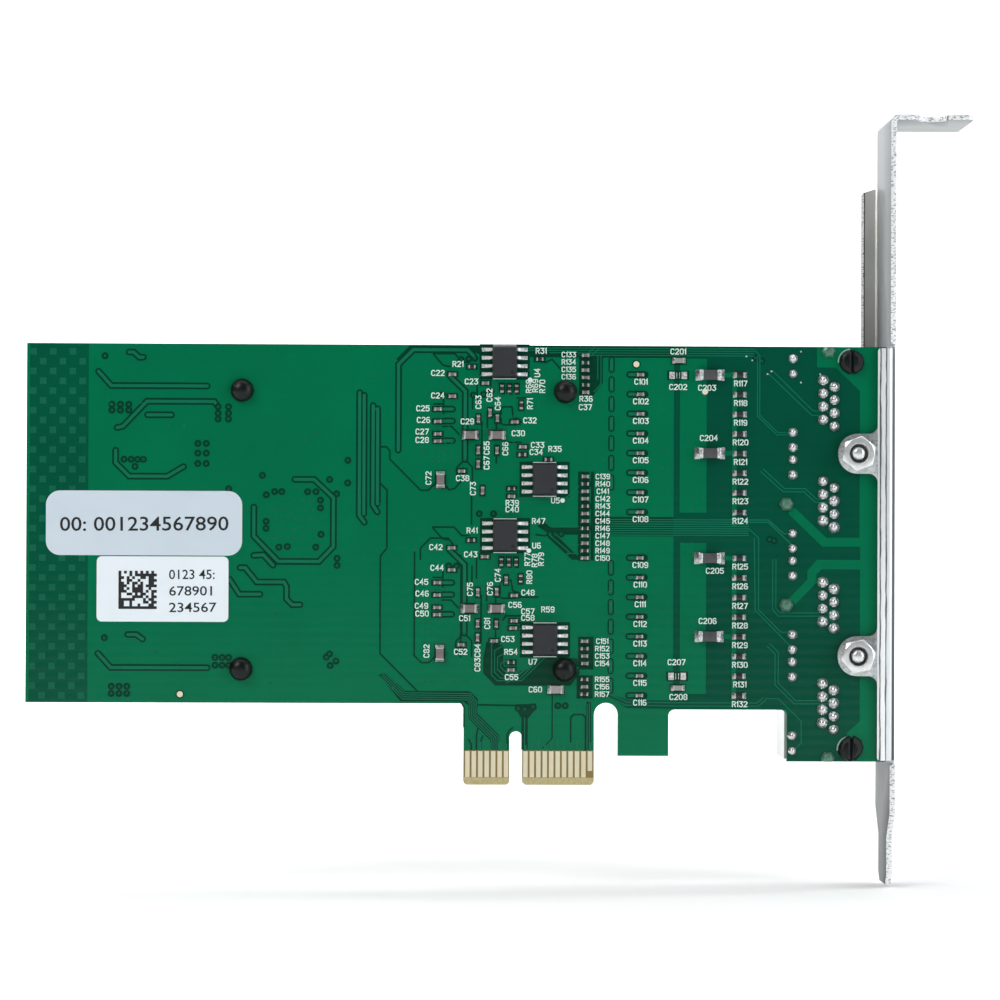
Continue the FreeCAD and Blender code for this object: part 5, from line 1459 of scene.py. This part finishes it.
def place_pegs():
    """Round lips over the jack's board pegs, with the slot that lets them spring, a painted shadow under the
    slot and a painted highlight crescent on each hole's rim.
    """
    shape = bmesh.new()
    dark = Layer(FRONT, 0.0, PAD_TOP)
    rims = Layer(FRONT, 0.0, PAD_TOP - 0.006)
    low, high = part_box("jack_housing")
    for z in (high.z / MM - 1.72, low.z / MM + 1.55):
        # painted shadow: a dark disc under each peg, seen through its slot
        dark.disc(PEG_X, z, 1.83, 32)
        # painted highlight: a pale crescent on the upper left of each hole's rim
        rims.polygon(around(PEG_X, z, 2.06, 95, 185, 12) + around(PEG_X, z, 1.7, 185, 95, 12))
        for hand in (-1, 1):
            rows = []
            for radius, height in PEG_LIP:
                gap = math.degrees(math.asin(PEG_SLOT / radius))
                rows.append([shape.verts.new(((PEG_X + hand * u) * MM, -(HALF_BOARD + height) * MM, v * MM))
                             for u, v in around(0, z, radius, gap - 90, 90 - gap, 24)])
            skin(shape, rows)
            shape.faces.new(rows[0])
            shape.faces.new(rows[-1])
    bmesh.ops.recalc_face_normals(shape, faces=shape.faces)
    land("peg_lips", to_mesh("peg_lips", shape, 40), nylon)
    dark.place("peg_slots", dark_gap, "black_plastic")
    rims.place("peg_hole_rims", painted_rim_highlight)


# ---------------------------------------------------------------- labels

def rounded(x, z, width, height, radius):
    """Outline of a sheet with round corners, centred on (x, z)."""
    points = []
    for i, k, first in ((1, 1, 0), (-1, 1, 90), (-1, -1, 180), (1, -1, 270)):
        points += around(x + i * (width / 2 - radius), z + k * (height / 2 - radius), radius,
                         first, first + 90, 8)
    return points


PRINT_TILT = -0.4           # degrees; the labels were printed a little askew
CAPITAL = 0.7               # height of a capital in a font of size one
# Text, start x and z, cap height, whole width
LABEL_LINES = [
    ("00: 001234567890", -70.7, 39.1, 2.15, 26.1),
    ("0123 45:", -53.8, 31.7, 1.45, 7.1),
    ("678901", -53.8, 29.15, 1.45, 6.7),
    ("234567", -53.8, 26.6, 1.45, 7.4),
]
CELL_FIELD = (-61.55, 27.05)
CELL_COUNT = 14
CELL = 5.9 / CELL_COUNT


def write(text, x, z, height, width):
    """Printed line starting at (x, z), cap height and whole width in millimetres."""
    curve = bpy.data.curves.new("line", "FONT")
    curve.body = text
    curve.size = height * MM / CAPITAL
    curve.offset = 0.012 * height * MM
    curve.resolution_u = 3
    holder = bpy.data.objects.new("line", curve)
    bpy.context.scene.collection.objects.link(holder)
    graph = bpy.context.evaluated_depsgraph_get()
    mesh = bpy.data.meshes.new_from_object(holder.evaluated_get(graph))
    bpy.data.objects.remove(holder)
    reach = max(vertex.co.x for vertex in mesh.vertices)
    mesh.transform(Matrix.Diagonal((width * MM / reach, 1, 1, 1)))
    mesh.transform(Matrix.Translation((x * MM, -(HALF_BOARD + PRINT_TOP) * MM, z * MM))
                   @ Matrix.Rotation(math.radians(PRINT_TILT), 4, "Y")
                   @ Matrix.Rotation(math.radians(90), 4, "X"))
    return mesh


def place_labels():
    """Two paper labels with generic digits, and a block code."""
    for node, radius, stock in (("serial_label", 2.2, paper), ("address_label", 0.8, bright_paper)):
        sheet = Layer(FRONT, 0.0, PAPER_TOP)
        low, high = solids(node)[0]
        x, y, z = middle((low, high))
        sheet.polygon(rounded(x, z, high[0] - low[0], high[2] - low[2], radius))
        piece = sheet.place(node + "_paper", stock, "label_paper")
        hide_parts(node)
    shape = bmesh.new()
    for line in LABEL_LINES:
        mesh = write(*line)
        shape.from_mesh(mesh)
        bpy.data.meshes.remove(mesh)
    face_toward(shape, FRONT)
    land("label_print", to_mesh("label_print", shape), print_ink)
    # a square field of random cells, which encodes nothing
    cells = Layer(FRONT, 0.0, PRINT_TOP)
    chance = random.Random(11)
    last = CELL_COUNT - 1
    for row in range(CELL_COUNT):
        for column in range(CELL_COUNT):
            solid_edge = column == 0 or row == 0
            dashed_edge = (row == last and column % 2 == 0) or (column == last and row % 2 == 0)
            if solid_edge or dashed_edge or (row < last and column < last and chance.random() < 0.5):
                x = CELL_FIELD[0] + column * CELL
                z = CELL_FIELD[1] + row * CELL
                cells.rectangle(x, z, x + CELL * 1.02, z + CELL * 1.02)
    cells.place("label_cells", print_ink, "label_paper")


# ---------------------------------------------------------------- pads and marks

GLINTS = ((44.1, 67.4), (47.1, 63.9), (44.1, 62.6), (35.6, 66.6), (36.5, 66.0), (38.9, 63.9), (39.5, 64.3))
FIDUCIALS = ((18.5, 65.3), (29.2, 61.1), (-52.0, 13.9))
FIDUCIAL = 0.47             # radius


def place_pads():
    """Empty pads, solder in open vias, and fiducials."""
    pads = Layer(FRONT, 0.0, PAD_TOP)
    for x, z in EMPTY_PADS:
        for hand in (-1, 1):
            pads.rectangle(x + hand * 0.95 - 0.42, z - 0.55, x + hand * 0.95 + 0.42, z + 0.55)
            pads.rectangle(x + hand * 0.22 - 0.05, z - 0.45, x + hand * 0.22 + 0.05, z + 0.45)
    pads.place("empty_pads", levelled, "solder")
    glints = Layer(FRONT, 0.0, PAD_TOP)
    for x, z in GLINTS:
        glints.disc(x, z, 0.14, 10)
    glints.place("open_via_solder", levelled, "solder")
    rings = Layer(FRONT, 0.0, CLEARANCE_TOP + 0.006)
    spots = Layer(FRONT, 0.0, PAD_TOP)
    for x, z in FIDUCIALS:
        rings.disc(x, z, FIDUCIAL + 0.2)
        spots.disc(x, z, FIDUCIAL)
    rings.place("fiducial_rings", resist_on_laminate)
    spots.place("fiducials", bare_pad, "gold_contact")


TONGUE_PARTS = ((-8.05, -1.02), (1.02, 12.05))  # X from end to end, on either side of the key notch
BARE_TOP = 5.35             # Z where the resist begins
BEVEL = 0.4                 # depth of the tongue's lead-in
BEVEL_TOP = 1.16            # its height
CORNER = 0.66               # reach of the tongue's round corners


def place_fingers():
    """Bare laminate between and below the fingers, on both faces and the bevel."""
    for side, name in ((FRONT, "front"), (BACK, "back")):
        bare = Layer(side, 0.0, LAMINATE_TOP)
        shape = bmesh.new()
        for left, right in TONGUE_PARTS:
            bare.rectangle(left, BEVEL_TOP - 0.01, right, BARE_TOP)
            outline = [(left, BEVEL_TOP), (right, BEVEL_TOP), (right, CORNER), (right - 0.2, 0.2),
                       (right - CORNER, 0.0), (left + CORNER, 0.0), (left + 0.2, 0.2), (left, CORNER)]
            corners = []
            for x, z in outline:
                y = HALF_BOARD + LAMINATE_TOP - BEVEL * (1 - z / BEVEL_TOP)
                corners.append(shape.verts.new((x * MM, side * y * MM, z * MM)))
            shape.faces.new(corners)
        bare.place("bare_laminate_" + name, laminate)
        face_toward(shape, side)
        land("bare_bevel_" + name, to_mesh("bare_bevel", shape), ground_laminate)
        leads = Layer(side, 0.0, COPPER_TOP)
        for index in range(7):
            if side == BACK or index in (0, 1, 4, 5):
                x = -1.5 - index
                leads.path([(x, 5.2), (x, 6.4 + 0.25 * (index % 3))], 0.3, False)
        for index in range(11):
            x = 1.5 + index
            leads.path([(x, 5.2), (x, 6.2 + 0.4 * (index % 3))], 0.3, False)
        leads.place("finger_tracks_" + name, resist_trace)


# ---------------------------------------------------------------- component side

def draw_back():
    """Component side: rows of tracks by the transformers, marks and tracks."""
    tracks = Layer(BACK, 0.0, COPPER_TOP)
    for index in range(24):
        for top in (53.0, 24.56):
            z = top + (index - 11.5) * 1.016
            tracks.path([(34.4, z), (41.6, z + 0.5 * math.sin(index))], 0.22)
            tracks.path([(19.3, z), (17.2, z)], 0.22)
    tracks.path([(-73.0, 62.0), (-66.0, 62.0), (-64.0, 60.0), (-64.0, 52.0)], 1.6)
    tracks.path([(-73.0, 18.0), (-66.0, 18.0), (-64.0, 20.0), (-64.0, 28.0)], 1.6)
    tracks.place("back_tracks", resist_trace)
    white = Layer(BACK, 0.0, INK_TOP)
    number = 301
    for node, kind, drop in (("tantalum_capacitors", "C", 2.6), ("power_inductors", "L", 4.7),
                             ("voltage_regulators", "U", 4.2), ("capacitor_cans", "C", 4.4)):
        for box in solids(node):
            x, y, z = middle(box)
            letter(white, kind + str(number), x, z - drop, False, -1)
            number += 1
    for low, high in solids("tantalum_capacitors") + solids("power_inductors"):
        left, right = low[0] - 0.35, high[0] + 0.35
        foot, head = low[2] - 0.35, high[2] + 0.35
        white.path([(left, foot), (right, foot), (right, head), (left, head), (left, foot)], STROKE)
    white.place("back_silkscreen", ink)
    rim = to_mesh("rim", lathe([(0.10, 0.004), (0.17, VIA_TOP), (0.25, VIA_TOP), (0.33, COPPER_TOP * 0.5),
                                (0.34, 0.0)], 12), 60)
    holes = [(x, HALF_BOARD, z, 0, 0.85) for x, z in VIA_PLACES[:BACK_VIAS]]
    repeat("back_via_rims", holes, rim, resist_trace)


CASE_LIFT = 0.9             # keeps the lower case's end behind the board's edge


# Electrolytic can in radius and distance: its foot from the base, its head from the top
CAN_FOOT = [(2.6, 0), (2.95, 0.1), (3.05, 0.35), (2.85, 0.75), (3.05, 1.15), (3.1, 1.5)]
CAN_HEAD = [(3.1, 0.4), (3.02, 0.12), (2.8, 0), (2.55, 0.08), (0, 0.08)]


def place_back_parts():
    """Soft edges on the component side's parts, round cans with their marks, striped tantalums."""
    for node, material, slot, radius in (
            ("upper_transformer_case", epoxy, "moulded_epoxy", 0.25),
            ("upper_network_controller", epoxy, "moulded_epoxy", 0.08),
            ("lower_network_controller", epoxy, "moulded_epoxy", 0.08),
            ("bridge_chip", epoxy, "moulded_epoxy", 0.08),
            ("voltage_regulators", epoxy, "moulded_epoxy", 0.12),
            ("regulator_leads", tinned, "tinned_lead", 0.04),
            ("power_inductors", ferrite, "ferrite", 0.15),
            ("capacitor_bases", black_plastic, "black_plastic", 0.15),
            ("tantalum_capacitors", tantalum, "tantalum_case", 0.2),
            ("crystal_bases", black_plastic, "black_plastic", 0.1),
            ("crystal_cans", aluminium, "can_aluminium", 0.3),
            ("heatsink", anodised, "anodised_aluminium", 0.1)):
        softened(node, material, radius)
    case = softened("lower_transformer_case", epoxy, 0.25)
    foot = min(vertex.co.z for vertex in case.data.vertices)
    for vertex in case.data.vertices:
        if vertex.co.z < foot + 1.0 * MM:
            vertex.co.z += CASE_LIFT * MM
    cans = bmesh.new()
    top_marks = bmesh.new()
    for low, high in solids("capacitor_cans"):
        x, y, z = middle((low, high))
        foot = [(radius, low[1] + rise) for radius, rise in CAN_FOOT]
        head = [(radius, high[1] - drop) for radius, drop in CAN_HEAD]
        absorb(cans, lathe(foot + head, 40, x, z))
        top_marks.faces.new([top_marks.verts.new((u * MM, (high[1] - 0.07) * MM, v * MM))
                             for u, v in around(x, z, 2.5, 120, 240, 12)])
    land("capacitor_cans_finished", to_mesh("cans", cans, 35), aluminium,
         ("capacitor_cans",))
    face_toward(top_marks, BACK)
    land("can_polarity_marks", to_mesh("can_marks", top_marks), print_ink)
    stripes = bmesh.new()
    for low, high in solids("tantalum_capacitors"):
        block(stripes, (high[0] - 1.5, high[1] - 0.1, low[2] + 0.18),
              (high[0] - 0.6, high[1] + 0.01, high[2] - 0.18))
    land("tantalum_stripes", to_mesh("stripes", stripes), dark_mark)


# ---------------------------------------------------------------- stage, light, camera

FLOOR_FRONT = -3.0
FLOOR_BACK = 1.2            # where the floor starts to curve up
CURVE = 0.5


def build_stage():
    """Pale floor that curves up into a wall well behind the part."""
    low = cad_box[0][2] - 0.0005
    profile = [(FLOOR_FRONT, 0.0), (FLOOR_BACK, 0.0)]
    for step in range(1, 13):
        turn = math.pi / 2 * step / 12
        profile.append((FLOOR_BACK + CURVE * math.sin(turn), CURVE - CURVE * math.cos(turn)))
    profile.append((FLOOR_BACK + CURVE, 2.6))
    shape = bmesh.new()
    rows = [[shape.verts.new((side, y, low + z)) for side in (-3.0, 3.0)] for y, z in profile]
    skin(shape, rows, closed=False)
    floor = bpy.data.objects.new("floor", to_mesh("floor", shape, 60))
    floor.data.materials.append(floor_white)
    bpy.context.scene.collection.objects.link(floor)


def add_light(name, place, aim, size, power, colour):
    """Soft box at place, turned to aim; the camera sees its light but not the box."""
    data = bpy.data.lights.new(name, "AREA")
    data.shape = "RECTANGLE"
    data.size, data.size_y = size
    data.energy = power
    data.color = linear(colour)[:3]
    lamp = bpy.data.objects.new(name, data)
    lamp.location = place
    lamp.visible_camera = False
    lamp.rotation_euler = (Vector(aim) - Vector(place)).to_track_quat("-Z", "Y").to_euler()
    bpy.context.scene.collection.objects.link(lamp)


def build_light():
    """Key from the upper left, a cooler fill, a top light, two for the wall and one for the bracket."""
    world = bpy.data.worlds.new("studio")
    world.use_nodes = True
    world.node_tree.nodes["Background"].inputs["Color"].default_value = linear("#ffffff")
    world.node_tree.nodes["Background"].inputs["Strength"].default_value = 0.1
    bpy.context.scene.world = world
    bpy.context.scene.view_settings.view_transform = "Standard"
    add_light("key_softbox", (-0.55, -0.6, 0.65), (0, 0, 0.04), (0.45, 0.45), 4.2, "#fffdf8")
    add_light("fill_softbox", (0.75, -0.5, 0.3), (0.02, 0, 0.04), (0.35, 0.7), 3.1, "#e9f3ff")
    add_light("top_softbox", (0.0, 0.1, 1.1), (0.0, 0.15, 0.0), (1.6, 1.0), 6.2, "#ffffff")
    add_light("left_wall_light", (-1.1, 0.3, 0.8), (-0.2, 0.9, 0.1), (0.5, 0.5), 6.5, "#ffffff")
    add_light("right_wall_light", (1.1, 0.3, 0.8), (0.2, 0.9, 0.1), (0.5, 0.5), 6.5, "#ffffff")
    add_light("bracket_card", (2.0, 0.15, 0.45), (0.06, 0.0, 0.04), (1.7, 1.7), 6.0, "#ffffff")


CAMERA_PLACE = (-0.016855, -0.602255, 0.037526)
CAMERA_LENS = 139.71        # in millimetres, on a sensor 36 wide
PITCH = 0.0110              # the camera's turns away from square on, in radians
YAW = -0.0237
ROLL = -0.0042


def place_camera():
    """The view nearly square on to the solder side, from 0.6 m, slightly turned as if set by hand."""
    data = bpy.data.cameras.new("camera")
    data.sensor_width = 36.0
    data.lens = CAMERA_LENS
    data.clip_start = 0.05
    data.clip_end = 20.0
    camera = bpy.data.objects.new("camera", data)
    turned = (Matrix.Rotation(PITCH, 4, "X") @ Matrix.Rotation(YAW, 4, "Z")
              @ Matrix.Rotation(ROLL, 4, "Y") @ Matrix.Rotation(math.radians(90), 4, "X"))
    camera.matrix_world = Matrix.Translation(CAMERA_PLACE) @ turned
    bpy.context.scene.collection.objects.link(camera)
    bpy.context.scene.camera = camera


def finish_nodes():
    """Better finishes on the CAD pieces whose shape stays."""
    looks = {"circuit_board": resist_on_copper, "jack_housing": black_plastic, "jack_shield": tin_sheet,
             "edge_contacts_solder_side": gold, "edge_contacts_component_side": gold,
             "port_contacts": gold, "contact_carriers": black_plastic,
             "link_lamps": green_lamp, "activity_lamps": amber_lamp, "lamp_legs": tinned,
             "upper_transformer_leads": tinned, "lower_transformer_leads": tinned,
             "thermal_pads": pad_grey}
    for node, material in looks.items():
        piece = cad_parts[node]
        piece.data.materials.clear()
        piece.data.materials.append(material)


finish_nodes()
draw_copper_ground()
draw_checker()
draw_tracks()
draw_vias()
draw_silkscreen()
place_chips()
place_memories()
place_joints()
place_bracket()
place_fasteners()
place_pins()
place_springs()
place_pegs()
place_labels()
place_pads()
place_fingers()
draw_back()
place_back_parts()
build_stage()
build_light()
place_camera()
